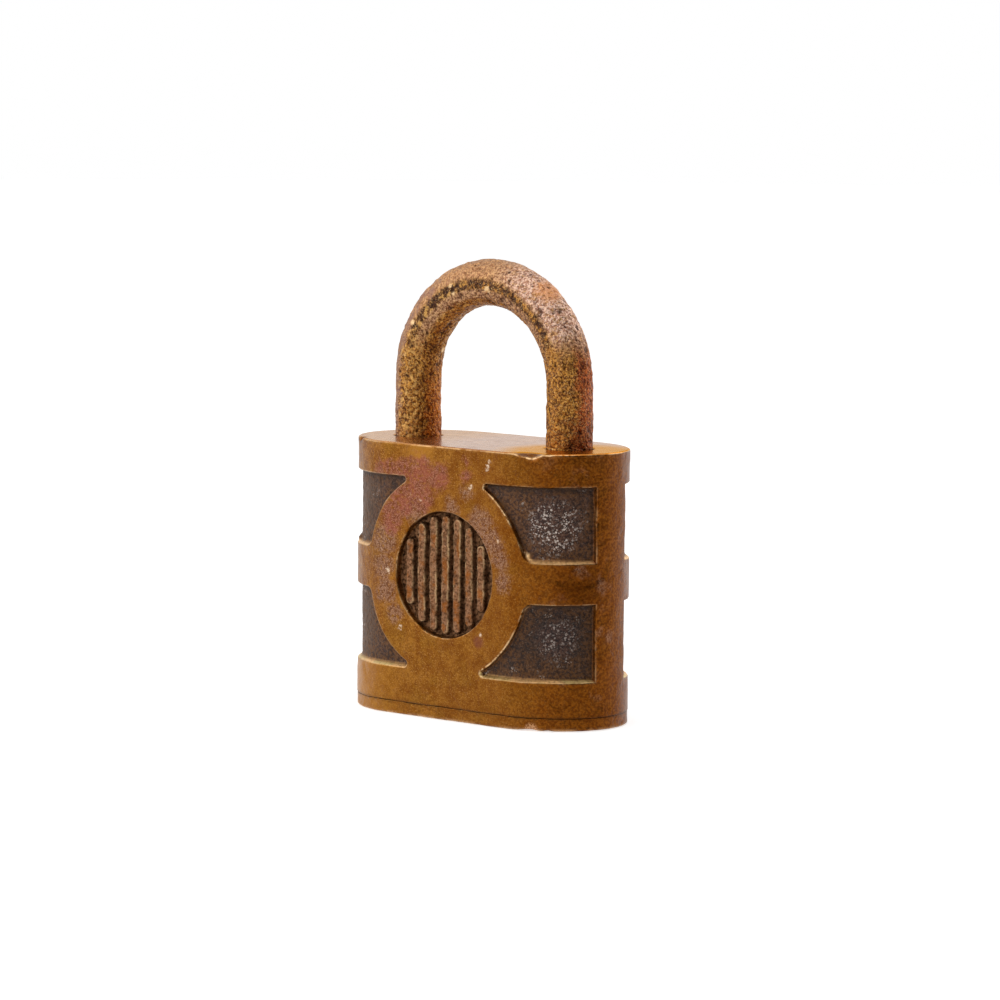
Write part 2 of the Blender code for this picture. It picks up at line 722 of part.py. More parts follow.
# Plug and what turns with it, drawn in the locked position
def keyway_outline():
    """The key slot with one ward on each side, long side along X."""
    half = KEYWAY_WIDTH / 2
    ward = KEYWAY_WARD
    reach = KEYWAY_REACH
    return [
        (-reach, -half),
        (-2 * ward, -half),
        (-ward, -half + ward),
        (ward, -half + ward),
        (2 * ward, -half),
        (reach, -half),
        (reach, half),
        (3 * ward, half),
        (2 * ward, half + ward),
        (0.0, half + ward),
        (-ward, half),
        (-reach, half),
    ]


def cam_screw_places():
    return [(0.0, side * CAM_SCREW_CIRCLE) for side in (1, -1)]


def make_plug(axis):
    mesh = bmesh.new()
    profile = [
        (PLUG_FACE_RADIUS - FIT_GAP, PLUG_FACE_DEPTH),
        (PLUG_FACE_RADIUS, PLUG_FACE_DEPTH + FIT_GAP),
        (PLUG_FACE_RADIUS, BASE_THICKNESS),
        (PLUG_RADIUS, BASE_THICKNESS),
        (PLUG_RADIUS, HOUSING_TOP),
    ]
    add_turned(mesh, profile, ROUND_STEPS)
    plug = make_object("plug", mesh, metal("plug brass", (0.68, 0.50, 0.22), 0.33), axis)
    keyway = bmesh.new()
    add_prism(keyway, keyway_outline(), PLUG_FACE_DEPTH - OVERSHOOT, HOUSING_TOP - KEYWAY_END_WALL)
    bores = bmesh.new()
    for height in PIN_HEIGHTS:
        profile = [(PIN_RADIUS + FIT_GAP, -PLUG_RADIUS - OVERSHOOT), (PIN_RADIUS + FIT_GAP, -PIN_FLOOR)]
        add_turned(bores, profile, PIN_STEPS, "X", (0.0, height))
    screws = bmesh.new()
    for place in cam_screw_places():
        radius = CAM_SCREW_DIAMETER / 2 + FIT_GAP
        bottom = HOUSING_TOP - CAM_SCREW_DEPTH - FIT_GAP
        add_turned(screws, [(radius, bottom), (radius, HOUSING_TOP + OVERSHOOT)], PIN_STEPS, "Z", place)
    return cut(
        plug,
        make_cutter("keyway", keyway, axis),
        make_cutter("key_pin_bores", bores, axis),
        make_cutter("cam_screw_holes", screws, axis),
    )


def make_key_pin(index, height, length, axis):
    mesh = bmesh.new()
    outer = PLUG_RADIUS - PIN_SET_BACK
    tip = outer - length
    cone = PIN_RADIUS - PIN_SET_BACK
    profile = [
        (PIN_RADIUS - PIN_SET_BACK, -outer),
        (PIN_RADIUS, -outer + PIN_SET_BACK),
        (PIN_RADIUS, -tip - cone),
        (PIN_RADIUS - cone, -tip),
    ]
    add_turned(mesh, profile, PIN_STEPS, "X", (0.0, height))
    name = f"key_pin_{index}"
    material = metal(name + " brass", (0.72, 0.55, 0.28), 0.28)
    return make_object(name, mesh, material, axis, (-outer, 0.0, height))


def make_tail_cam(axis):
    mesh = bmesh.new()
    profile = [
        (CAM_FLANGE_RADIUS, SPACER_BOTTOM),
        (CAM_FLANGE_RADIUS, CAM_FLANGE_TOP),
        (CAM_SHAFT_RADIUS, CAM_FLANGE_TOP),
        (CAM_SHAFT_RADIUS, SPACER_TOP),
    ]
    add_turned(mesh, profile, ROUND_STEPS)
    cam = make_object("tail_cam", mesh, metal("cam brass", (0.58, 0.42, 0.19), 0.38), axis)
    angle = CAM_PIN_REST - OPEN_TURN
    place = (CAM_THROW * math.cos(angle), CAM_THROW * math.sin(angle))
    pin = bmesh.new()
    profile = [(CAM_PIN_RADIUS, SPACER_TOP - OVERSHOOT), (CAM_PIN_RADIUS, BOLT_TOP)]
    add_turned(pin, profile, PIN_STEPS, "Z", place)
    union = cam.modifiers.new("cam pin", "BOOLEAN")
    union.operation = "UNION"
    union.solver = "EXACT"
    union.object = make_cutter("cam_pin", pin, axis)
    screws = bmesh.new()
    for place in cam_screw_places():
        radius = CAM_SCREW_DIAMETER / 2 + FIT_GAP
        profile = [(radius, SPACER_BOTTOM - OVERSHOOT), (radius, CAM_FLANGE_TOP + OVERSHOOT)]
        add_turned(screws, profile, PIN_STEPS, "Z", place)
    return cut(cam, make_cutter("flange_holes", screws, axis))


def make_cam_screw(index, place, axis):
    mesh = bmesh.new()
    radius = CAM_SCREW_DIAMETER / 2
    profile = [
        (radius, HOUSING_TOP - CAM_SCREW_DEPTH),
        (radius, CAM_SCREW_SEAT),
        (CAM_SCREW_HEAD_RADIUS, CAM_SCREW_SEAT),
        (CAM_SCREW_HEAD_RADIUS, CAM_SCREW_SEAT + CAM_SCREW_HEAD_HEIGHT),
    ]
    add_turned(mesh, profile, PIN_STEPS, "Z", place)
    name = f"cam_screw_{index}"
    return make_object(name, mesh, metal(name + " steel", (0.50, 0.50, 0.48), 0.35), axis)


def make_padlock():
    clear_scene()
    rivet_holes = [rivet_hole("toe_rivet_hole", -RIVET_X), rivet_hole("heel_rivet_hole", RIVET_X)]
    make_case_body(rivet_holes)
    make_base_plate(rivet_holes)
    make_rivet("base_rivet_toe", -RIVET_X)
    make_rivet("base_rivet_heel", RIVET_X)
    make_shackle()
    make_heel_pin()
    make_locking_bolt()
    make_cylinder_housing()
    make_chamber_strip()
    make_spacer_block()
    plug_axis = make_empty("plug_axis", turn=OPEN_TURN)
    make_plug(plug_axis)
    make_tail_cam(plug_axis)
    for index, place in enumerate(cam_screw_places(), 1):
        make_cam_screw(index, place, plug_axis)
    for index, (height, length) in enumerate(zip(PIN_HEIGHTS, KEY_PIN_LENGTHS), 1):
        make_key_pin(index, height, length, plug_axis)
        make_driver_pin(index, height)
        make_pin_spring(index, height)


make_padlock()
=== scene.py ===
# %% [markdown]
# # A heavy cast padlock, weathered
# The packed model is the skeleton of this padlock: every piece at its real size and place. This
# lesson dresses it. The case, its base and the shackle get new, finer meshes with worn edges and
# pits, the pieces inside keep their own meshes, and every surface gets a metal made from nodes.

# %% Load the packed model
import json
import math

import bmesh
import bpy
import numpy as np
from mathutils import Matrix, Vector, noise
from mathutils.geometry import delaunay_2d_cdt


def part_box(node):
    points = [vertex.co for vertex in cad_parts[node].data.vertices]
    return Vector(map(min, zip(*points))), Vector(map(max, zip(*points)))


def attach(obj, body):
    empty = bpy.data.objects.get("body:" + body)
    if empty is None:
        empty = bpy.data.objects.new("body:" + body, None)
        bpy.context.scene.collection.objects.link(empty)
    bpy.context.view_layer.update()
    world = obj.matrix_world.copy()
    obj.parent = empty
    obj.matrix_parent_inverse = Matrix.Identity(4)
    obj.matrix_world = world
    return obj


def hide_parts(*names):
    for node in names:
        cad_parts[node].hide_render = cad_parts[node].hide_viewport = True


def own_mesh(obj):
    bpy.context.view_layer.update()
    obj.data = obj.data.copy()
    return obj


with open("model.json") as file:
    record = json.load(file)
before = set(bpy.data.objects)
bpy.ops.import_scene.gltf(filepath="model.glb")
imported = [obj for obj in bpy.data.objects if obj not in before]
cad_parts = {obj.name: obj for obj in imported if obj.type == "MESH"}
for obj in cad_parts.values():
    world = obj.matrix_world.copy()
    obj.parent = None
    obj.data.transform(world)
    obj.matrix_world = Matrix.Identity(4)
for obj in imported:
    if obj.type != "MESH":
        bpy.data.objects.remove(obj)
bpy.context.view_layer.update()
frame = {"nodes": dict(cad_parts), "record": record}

MM = 0.001

# %% [markdown]
# ## Where the camera stands
# The photograph was taken from the right, a little above the padlock, with a long lens. A camera
# can be aimed with a constraint, but here its axes are worked out from an azimuth, an elevation and
# a small roll, so that the frame is the photograph's own to the pixel.

# %% Camera
VIEW_AZIMUTH = math.radians(40.46)
VIEW_ELEVATION = math.radians(6.22)
VIEW_ROLL = math.radians(0.46)
VIEW_DISTANCE = 1.1
VIEW_CENTRE = Vector((2.34 * MM, 0.0, 50.0 * MM))
LENS = 170.4
SENSOR = 36.0


def aim_camera():
    back = Vector(
        (
            math.sin(VIEW_AZIMUTH) * math.cos(VIEW_ELEVATION),
            -math.cos(VIEW_AZIMUTH) * math.cos(VIEW_ELEVATION),
            math.sin(VIEW_ELEVATION),
        )
    )
    level = Vector((math.cos(VIEW_AZIMUTH), math.sin(VIEW_AZIMUTH), 0.0))
    upright = back.cross(level)
    right = math.cos(VIEW_ROLL) * level + math.sin(VIEW_ROLL) * upright
    up = back.cross(right)
    data = bpy.data.cameras.new("camera")
    data.lens = LENS
    data.sensor_width = SENSOR
    data.clip_start = 0.01
    camera = bpy.data.objects.new("camera", data)
    place = VIEW_CENTRE + back * VIEW_DISTANCE
    axes = Matrix((right, up, back)).transposed().to_4x4()
    camera.matrix_world = Matrix.Translation(place) @ axes
    bpy.context.scene.collection.objects.link(camera)
    bpy.context.scene.camera = camera
    return camera


camera = aim_camera()
print("camera at, mm:", [round(value / MM, 1) for value in camera.location])

# %% [markdown]
# ## Nodes from a script
# The world, the floor and every finish are trees of nodes. They can be placed by hand in the node
# editor. A script repeats them exactly, and small helpers keep it short: one makes a node and fills
# its sockets by their names, one links two sockets, and one starts a material.

# %% Node helpers
def link(tree, source, target):
    tree.links.new(source, target)


def feed(tree, value, socket):
    """Links a socket to another one, or sets it to a plain value."""
    if isinstance(value, bpy.types.NodeSocket):
        link(tree, value, socket)
    else:
        socket.default_value = value


def new_node(tree, kind, **settings):
    """Adds a shader node. A setting named like an input fills that input, or links to it."""
    node = tree.nodes.new(kind)
    for name, value in settings.items():
        if hasattr(node, name):
            setattr(node, name, value)
            continue
        label = name.replace("_", " ").lower()
        socket = next(s for s in node.inputs if s.name.lower() == label and s.enabled)
        feed(tree, value, socket)
    return node


def new_material(name):
    """A new material's tree of nodes and its main shader."""
    material = bpy.data.materials.new(name)
    material.use_nodes = True
    return material, material.node_tree, material.node_tree.nodes["Principled BSDF"]


print("materials so far:", len(bpy.data.materials))

# %% [markdown]
# ## A white studio
# The padlock stands on a pale floor in front of white. A picture of a studio could light it, but
# plain lamps are easier to move. The world is white wherever the camera or a mirror looks at it,
# and weaker as a light, so the background stays white while the metal keeps its colour.

# %% World
WORLD_LIGHT = 0.42  # strength for what isn't seen or mirrored
WHITE = (1.0, 1.0, 1.0, 1.0)


def seen_or_mirrored(tree):
    """The light path, and 1 for what the camera sees or a mirror shows."""
    path = new_node(tree, "ShaderNodeLightPath")
    seen = new_node(tree, "ShaderNodeMath", operation="MAXIMUM")
    link(tree, path.outputs["Is Camera Ray"], seen.inputs[0])
    link(tree, path.outputs["Is Glossy Ray"], seen.inputs[1])
    return path, seen.outputs[0]


def white_world():
    world = bpy.data.worlds.new("studio")
    world.use_nodes = True
    tree = world.node_tree
    tree.nodes.clear()
    path, seen = seen_or_mirrored(tree)
    through = new_node(tree, "ShaderNodeMath", operation="MAXIMUM")
    link(tree, seen, through.inputs[0])
    link(tree, path.outputs["Is Transmission Ray"], through.inputs[1])
    plain = new_node(tree, "ShaderNodeBackground", Color=WHITE, Strength=WORLD_LIGHT)
    white = new_node(tree, "ShaderNodeBackground", Color=WHITE, Strength=1.0)
    mix = new_node(tree, "ShaderNodeMixShader")
    link(tree, through.outputs[0], mix.inputs[0])
    link(tree, plain.outputs[0], mix.inputs[1])
    link(tree, white.outputs[0], mix.inputs[2])
    out = new_node(tree, "ShaderNodeOutputWorld")
    link(tree, mix.outputs[0], out.inputs["Surface"])
    bpy.context.scene.world = world


white_world()
bpy.context.scene.view_settings.view_transform = "Standard"
print("world:", bpy.context.scene.world.name)

# %% [markdown]
# A metal shows what stands round it. One dark card, which the camera doesn't see, gives it
# something to mirror on its right side. The floor is a plain disc that keeps the padlock's shadow
# and glows a little, so that it stays white further out.

# %% Floor and dark card
FLOOR_GLOW = 0.62  # keeps the floor white where a lamp's light falls off
FLOOR_RADIUS = 3.0
FLOOR_LEVEL = -0.1 * MM
CARD_SIZE = 2.6
CARD_DISTANCE = 1.5
CARD_AZIMUTH = math.radians(80.0)
CARD_RISE = 0.12


def link_object(name, mesh):
    """An object from a mesh under construction."""
    data = bpy.data.meshes.new(name)
    mesh.to_mesh(data)
    mesh.free()
    obj = bpy.data.objects.new(name, data)
    bpy.context.scene.collection.objects.link(obj)
    return obj


def paint_grey(obj, shade, roughness):
    """Gives an object one plain grey."""
    material, tree, shader = new_material("plain " + obj.name)
    shader.inputs["Base Color"].default_value = (shade, shade, shade, 1.0)
    shader.inputs["Roughness"].default_value = roughness
    obj.data.materials.append(material)
    return tree, shader


def add_floor():
    """A wide pale floor, clear when looked at from below, so that the underside can be seen."""
    mesh = bmesh.new()
    bmesh.ops.create_circle(mesh, cap_ends=True, radius=FLOOR_RADIUS, segments=64)
    floor = link_object("floor", mesh)
    floor.location.z = FLOOR_LEVEL
    tree, shader = paint_grey(floor, shade=0.86, roughness=0.9)
    glow = new_node(tree, "ShaderNodeMath", operation="MULTIPLY")
    link(tree, seen_or_mirrored(tree)[1], glow.inputs[0])
    glow.inputs[1].default_value = FLOOR_GLOW
    shader.inputs["Emission Color"].default_value = WHITE
    link(tree, glow.outputs[0], shader.inputs["Emission Strength"])
    below = new_node(tree, "ShaderNodeNewGeometry").outputs["Backfacing"]
    clear = new_node(tree, "ShaderNodeBsdfTransparent")
    either = new_node(tree, "ShaderNodeMixShader")
    link(tree, below, either.inputs[0])
    link(tree, shader.outputs[0], either.inputs[1])
    link(tree, clear.outputs[0], either.inputs[2])
    link(tree, either.outputs[0], tree.nodes["Material Output"].inputs["Surface"])


def add_dark_card():
    """A plain card that the camera doesn't see: the unlit side of the room, mirrored in metal."""
    away = Vector((math.sin(CARD_AZIMUTH), -math.cos(CARD_AZIMUTH), CARD_RISE))
    mesh = bmesh.new()
    bmesh.ops.create_grid(mesh, x_segments=1, y_segments=1, size=CARD_SIZE / 2)
    card = link_object("dark side", mesh)
    card.location = VIEW_CENTRE + away * CARD_DISTANCE
    card.rotation_euler = away.to_track_quat("Z", "Y").to_euler()
    card.visible_camera = False
    paint_grey(card, shade=0.02, roughness=1.0)


add_dark_card()
add_floor()
print("the floor is", 2 * FLOOR_RADIUS, "m wide, the card", CARD_SIZE, "m")

# %% [markdown]
# The photograph's light is soft and comes mostly from the left and from above. Square area lamps
# give soft shadows, and a third one behind draws the far rim. They are kept weak, so that a colour
# renders about as it is written.

# %% Lamps
# Azimuth and elevation in degrees, distance and size in metres, and power in watts.
LAMPS = {
    "left softbox": (-50.0, 30.0, 0.9, 0.7, 2.6),
    "top softbox": (20.0, 80.0, 0.8, 0.6, 1.4),
    "back softbox": (170.0, 30.0, 0.9, 0.6, 1.4),
}


def add_lamp(name, azimuth, elevation, distance, size, power):
    """A square soft lamp that points at the padlock's middle."""
    a, e = math.radians(azimuth), math.radians(elevation)
    away = Vector((math.sin(a) * math.cos(e), -math.cos(a) * math.cos(e), math.sin(e)))
    data = bpy.data.lights.new(name, "AREA")
    data.size = size
    data.energy = power
    lamp = bpy.data.objects.new(name, data)
    lamp.location = VIEW_CENTRE + away * distance
    lamp.rotation_euler = away.to_track_quat("Z", "Y").to_euler()
    bpy.context.scene.collection.objects.link(lamp)


for name, settings in LAMPS.items():
    add_lamp(name, *settings)
print("lamps:", list(LAMPS))

# %% [markdown]
# ## The case from outside
# The real case is one casting: raised bands round its top, middle, bottom and ends, a round
# medallion on each face, and sunk panels between them. It could be cut with Booleans and bevelled,
# but cast edges are soft and uneven. So its side wall is drawn flat first, like a paper label laid
# round the body: one axis runs round the outline, the other runs up. Lines along each edge carry a
# depth, the space between is filled with points, and the label is triangulated and wrapped back.

# %% The body's outline in plan
case_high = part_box("case_body")[1]
base_low, base_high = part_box("base_plate")
HALF_WIDTH = case_high.x
HALF_THICKNESS = case_high.y
TOP = case_high.z
SEAM = 0.1 * MM  # the gap that is seen between the case and its base
FOOT_LEVEL = base_high.z + SEAM
END_REACH = 19.5 * MM  # how far each rounded end reaches along X
FLAT_HALF = HALF_WIDTH - END_REACH


def quarter_table():
    """Distance round the outline, x and y, from the front's middle to the heel end's tip."""
    angle = np.linspace(-math.pi / 2, 0.0, 600)
    x = FLAT_HALF + END_REACH * np.cos(angle)
    y = HALF_THICKNESS * np.sin(angle)
    along = np.concatenate([[0.0], np.cumsum(np.hypot(np.diff(x), np.diff(y)))])
    zero = np.zeros(1)
    return (
        np.concatenate([zero, FLAT_HALF + along]),
        np.concatenate([zero, x]),
        np.concatenate([zero - HALF_THICKNESS, y]),
    )


table_s, table_x, table_y = quarter_table()
QUARTER = table_s[-1]


def around(s):
    """Points and outward normals of the outline at distance s round it from the front's middle."""
    s = (np.asarray(s, float) + QUARTER) % (4 * QUARTER) - QUARTER
    back = s > QUARTER
    t = np.where(back, 2 * QUARTER - s, s)
    x = np.sign(t) * np.interp(np.abs(t), table_s, table_x)
    y = np.interp(np.abs(t), table_s, table_y)
    y = np.where(back, -y, y)
    nx = np.sign(x) * np.maximum(np.abs(x) - FLAT_HALF, 0.0) / END_REACH**2
    ny = y / HALF_THICKNESS**2
    length = np.hypot(nx, ny)
    return x, y, nx / length, ny / length


print("once round the body, mm:", round(4 * QUARTER / MM, 1))

# %% [markdown]
# Each edge of the casting has the same worn shape in section: a soft shoulder, a steep wall and a
# filled foot. It is written once, as offsets from the edge with the share of the depth reached
# there. The walls that face up are drafted wider, which is why they catch the light.

# %% Edges and panels of the label
TOP_BAND = 7.7 * MM
MIDDLE_BAND = 9.6 * MM
BOTTOM_BAND = 11.2 * MM
END_BAND = 10.3 * MM
RING_RADIUS = 24.0 * MM
RING_FILLET = 2.2 * MM  # where the ring runs into the middle band
TIP_FILLET = 0.8 * MM  # at the panels' sharp tips, above and below the ring
RING_HEIGHT = 33.7 * MM
PANEL_DEPTH = 1.1 * MM
RECESS_RADIUS = 14.6 * MM
RECESS_DEPTH = 1.5 * MM
EDGE_SHAPE = ((-0.32, 0.0), (-0.14, 0.045), (0.0, 0.2), (0.1, 0.52), (0.22, 0.86), (0.4, 1.0))
WIDE_DRAFT = 2.3  # how much wider the walls that face up are
LINE_STEP = 0.32 * MM

upper_top = TOP - TOP_BAND
upper_bottom = RING_HEIGHT + MIDDLE_BAND / 2
lower_top = RING_HEIGHT - MIDDLE_BAND / 2
end_side = float(np.interp(-END_BAND / 2, table_y[1:], table_s[1:]))


def drafted(offset, factor):
    return offset * (factor if offset > 0 else 1.0)


def span(start, end):
    """Evenly spaced values from start to end, the last one left out."""
    count = max(int(math.ceil(abs(end - start) / LINE_STEP)), 1)
    return np.linspace(start, end, count + 1)[:-1]


def panel_line(offset, upper):
    """The closed edge line of one panel of the front's right half, moved into it by an offset.

    It runs along the band, down the side, back along the middle band, round the fillet, up the
    ring and round the tip.
    """
    outer = (upper_top - RING_HEIGHT) if upper else (RING_HEIGHT - BOTTOM_BAND)
    inner = MIDDLE_BAND / 2
    outer -= drafted(offset, 1.0 if upper else WIDE_DRAFT)
    inner += drafted(offset, WIDE_DRAFT if upper else 1.0)
    side = end_side - offset
    ring = RING_RADIUS + offset
    fillet = max(RING_FILLET - offset, 0.4 * MM)
    centre_z = inner + fillet
    centre_x = math.sqrt((ring + fillet) ** 2 - centre_z**2)
    centre_s = float(np.interp(centre_x, table_x, table_s))
    tip = TIP_FILLET - offset
    tip_z = outer - tip
    tip_x = math.sqrt((ring + tip) ** 2 - tip_z**2)
    tip_meet = math.atan2(tip_z, tip_x)
    nose = math.pi + tip_meet - span(0.0, tip * (math.pi / 2 + tip_meet)) / tip
    top = span(float(np.interp(tip_x, table_x, table_s)), side)
    down = span(outer, inner)
    along = span(side, centre_s)
    meet = math.atan2(centre_z, centre_x)
    turn = span(0.0, fillet * (math.pi / 2 - meet)) / fillet
    corner = -math.pi / 2 - turn
    climb = span(ring * meet, ring * tip_meet) / ring
    s = np.concatenate([
        top,
        np.full(len(down), side),
        along,
        np.interp(centre_x + fillet * np.cos(corner), table_x, table_s),
        np.interp(ring * np.cos(climb), table_x, table_s),
        np.interp(tip_x + tip * np.cos(nose), table_x, table_s),
    ])
    z = np.concatenate([
        np.full(len(top), outer),
        down,
        np.full(len(along), inner),
        centre_z + fillet * np.sin(corner),
        ring * np.sin(climb),
        tip_z + tip * np.sin(nose),
    ])
    return s, RING_HEIGHT + (z if upper else -z)


print("upper panel's edge has", len(panel_line(0.0, True)[0]), "points")

# %% [markdown]
# The medallion's middle is sunk, and a relief stands in it. Plain upright ribs with round ends
# stand there, as a foundry would cut them: no letters, no sign.

# %% Ribs of the medallion
RIB_WIDTH = 2.1 * MM
RIB_PITCH = 3.6 * MM
RIB_CLEAR = 0.9 * MM
RIB_DROP = 0.3 * MM
RIB_SHAPE = ((-0.6, 0.0), (-0.34, 0.03), (-0.14, 0.11), (0.0, 0.3), (0.12, 0.7), (0.3, 1.0))
RIBS_EACH_SIDE = 3


def rib_half_height(x):
    cap = RIB_WIDTH / 2
    return cap + math.sqrt((RECESS_RADIUS - RIB_CLEAR - cap) ** 2 - x**2)


def rib_line(x, offset):
    """A rib's closed edge line, grown by an offset."""
    cap = RIB_WIDTH / 2 + offset
    straight = rib_half_height(x) - RIB_WIDTH / 2
    counted = max(cap, 0.5 * MM)
    half_turn = span(0.0, math.pi * counted) / counted
    run = span(straight, -straight)
    s = np.concatenate([
        x + cap * np.cos(half_turn),
        np.full(len(run), x - cap),
        x - cap * np.cos(half_turn),
        np.full(len(run), x + cap),
    ])
    z = np.concatenate([
        straight + cap * np.sin(half_turn),
        run,
        -straight - cap * np.sin(half_turn),
        -run,
    ])
    return s, RING_HEIGHT + z


def circle_line(radius):
    turn = span(0.0, 2 * math.pi * radius) / radius
    return radius * np.cos(turn), RING_HEIGHT + radius * np.sin(turn)


rib_places = [index * RIB_PITCH for index in range(-RIBS_EACH_SIDE, RIBS_EACH_SIDE + 1)]
print("ribs:", len(rib_places), "longest, mm:", round(2 * rib_half_height(0.0) / MM, 1))

# %% [markdown]
# Any point of the label can be asked how far inside a panel, the recess or a rib it lies. The
# answer sets its depth, and later its dirt.


# %% How far inside
def fold(s):
    """Distance from the nearer face's middle, and x there."""
    s = (np.asarray(s, float) + QUARTER) % (4 * QUARTER) - QUARTER
    t = np.abs(np.where(s > QUARTER, 2 * QUARTER - s, s))
    return t, np.interp(t, table_s, table_x)


def rounded_corner(u, v, radius):
    """The lesser of two distances, rounded where both are small."""
    both = (u < radius) & (v < radius)
    return np.where(both, radius - np.hypot(radius - u, radius - v), np.minimum(u, v))


def blunt_tip(inside, x, height, outer):
    """The distance inside, where a panel's sharp tip at its outer edge is rounded."""
    tip_z = outer - TIP_FILLET
    tip_x = math.sqrt((RING_RADIUS + TIP_FILLET) ** 2 - tip_z**2)
    beyond = (x < tip_x) & (height * tip_x > x * tip_z)
    return np.where(beyond, TIP_FILLET - np.hypot(x - tip_x, height - tip_z), inside)


def gentle(distance):
    """Distance over a wall that faces up, counted as on a steep one."""
    return np.where(distance > 0, distance / WIDE_DRAFT, distance)


def inside_panel(s, z):
    """Distance into the nearest panel, drafted walls counted at their own width."""
    t, x = fold(s)
    ring = np.hypot(x, z - RING_HEIGHT) - RING_RADIUS
    side = end_side - t
    shelf = gentle(z - upper_bottom)
    upper = np.minimum(np.minimum(upper_top - z, side), rounded_corner(shelf, ring, RING_FILLET))
    sill = gentle(z - BOTTOM_BAND)
    lower = np.minimum(np.minimum(sill, side), rounded_corner(lower_top - z, ring, RING_FILLET))
    height = z - RING_HEIGHT
    upper = blunt_tip(upper, x, height, upper_top - RING_HEIGHT)
    lower = blunt_tip(lower, x, -height, RING_HEIGHT - BOTTOM_BAND)
    return np.maximum(upper, lower)


def inside_recess(s, z):
    x = fold(s)[1]
    return RECESS_RADIUS - np.hypot(x, z - RING_HEIGHT)


def outside_ribs(s, z):
    x = fold(s)[1]
    nearest = np.full(x.shape, 1.0)
    for place in rib_places[RIBS_EACH_SIDE:]:
        straight = rib_half_height(place) - RIB_WIDTH / 2
        past = np.maximum(np.abs(z - RING_HEIGHT) - straight, 0.0)
        nearest = np.minimum(nearest, np.hypot(x - place, past) - RIB_WIDTH / 2)
    return nearest


probe = float(inside_panel(end_side - 2 * MM, upper_top - 3 * MM))
print("a point 2 mm from a panel's side lies inside by, mm:", round(probe / MM, 2))

# %% [markdown]
# Now the label is drawn, its edge lines first. Each is repeated on the left half and on the back.
# Rows for the rounded lip run along the upper edge, and two for the foot along the lower one.

# %% Draw the label
LIP_RADIUS = 0.5 * MM
LIP_ROWS = 4
FOOT_RADIUS = 0.15 * MM


class Label:
    """Points of the flat label with their depths, and the lines that have to stay."""

    def __init__(self):
        self.points = []
        self.depths = []
        self.edges = []
        self.count = 0

    def add(self, s, z, depth):
        self.points.append(np.column_stack([s, z]))
        self.depths.append(np.broadcast_to(depth, (len(s),)).astype(float))
        self.count += len(s)

    def add_line(self, s, z, depth, closed=True):
        first = self.count
        self.add(s, z, depth)
        last = self.count - (0 if closed else 1)
        for index in range(first, last):
            following = index + 1 if index + 1 < self.count else first
            self.edges.append((index, following))


def draw_label():
    label = Label()
    for offset, share in EDGE_SHAPE:
        for upper in (True, False):
            s, z = panel_line(offset * MM, upper)
            for placed in (s, -s, 2 * QUARTER - s, 2 * QUARTER + s):
                label.add_line(placed, z, share * PANEL_DEPTH)
        s, z = circle_line(RECESS_RADIUS - offset * MM)
        label.add_line(s, z, share * RECESS_DEPTH)
        label.add_line(2 * QUARTER - s, z, share * RECESS_DEPTH)
    for offset, share in RIB_SHAPE:
        depth = RIB_DROP + share * (RECESS_DEPTH - RIB_DROP)
        for place in rib_places:
            s, z = rib_line(place, offset * MM)
            label.add_line(s, z, depth)
            label.add_line(2 * QUARTER - s, z, depth)
    seam = -QUARTER
    s = np.linspace(seam, seam + 4 * QUARTER, int(4 * QUARTER / LINE_STEP) + 1)
    lip = TOP - LIP_RADIUS + LIP_RADIUS * math.pi / 2 * np.arange(LIP_ROWS + 1) / LIP_ROWS
    foot = FOOT_LEVEL + FOOT_RADIUS * np.array([0.0, 1.0])
    for z in (*foot, *lip):
        label.add_line(s, np.full(len(s), z), 0.0, closed=False)
    climb = np.arange(foot[-1] + LINE_STEP, lip[0] - LINE_STEP / 2, LINE_STEP)
    for end in (seam, seam + 4 * QUARTER):
        label.add(np.full(len(climb), end), climb, 0.0)
    return label, lip[-1]


label, LIP_END = draw_label()
print("points on edge lines:", label.count)

# %% [markdown]
# Between the lines goes a loose grid of points, closer together where the casting is coarse. Each
# is moved a little at random, because an even grid would show in the shine. The random numbers
# start from a fixed seed, so every run gives the same padlock.

# %% Fill the label
PLAIN_STEP = 0.66 * MM
COARSE_STEP = 0.44 * MM
EDGE_CLEAR = 0.55 * MM  # loose points keep this far from the edge lines
RIB_FOOT_CLEAR = 0.5 * MM
JITTER = 0.15  # of a step
shuffle = np.random.default_rng(7)


def fill_label(label, step, keep, depth_of):
    """Adds a loose hexagonal grid where keep says so."""
    low, high = FOOT_LEVEL + step, TOP - LIP_RADIUS - step / 3
    rows = np.arange(low, high, step * math.sqrt(3) / 2)
    columns = np.arange(-QUARTER + step / 2, 3 * QUARTER - step / 3, step)
    s, z = np.meshgrid(columns, rows)
    s = s + (np.arange(len(rows)) % 2)[:, None] * step / 2
    s, z = s.ravel(), z.ravel()
    s = s + shuffle.uniform(-JITTER, JITTER, len(s)) * step
    z = z + shuffle.uniform(-JITTER, JITTER, len(z)) * step
    wanted = keep(s, z) & (s < 3 * QUARTER - step / 3)
    s, z = s[wanted], z[wanted]
    label.add(s, z, depth_of(s, z))


def on_raised(s, z):
    return (inside_panel(s, z) < -EDGE_CLEAR) & (inside_recess(s, z) < -EDGE_CLEAR)


def on_panel(s, z):
    return inside_panel(s, z) > EDGE_CLEAR


def on_recess_floor(s, z):
    return (inside_recess(s, z) > 0.6 * MM) & (outside_ribs(s, z) > RIB_FOOT_CLEAR)


fill_label(label, PLAIN_STEP, on_raised, lambda s, z: np.zeros(len(s)))
fill_label(label, COARSE_STEP, on_panel, lambda s, z: np.full(len(s), PANEL_DEPTH))
fill_label(label, COARSE_STEP, on_recess_floor, lambda s, z: np.full(len(s), RECESS_DEPTH))
print("label points:", label.count)

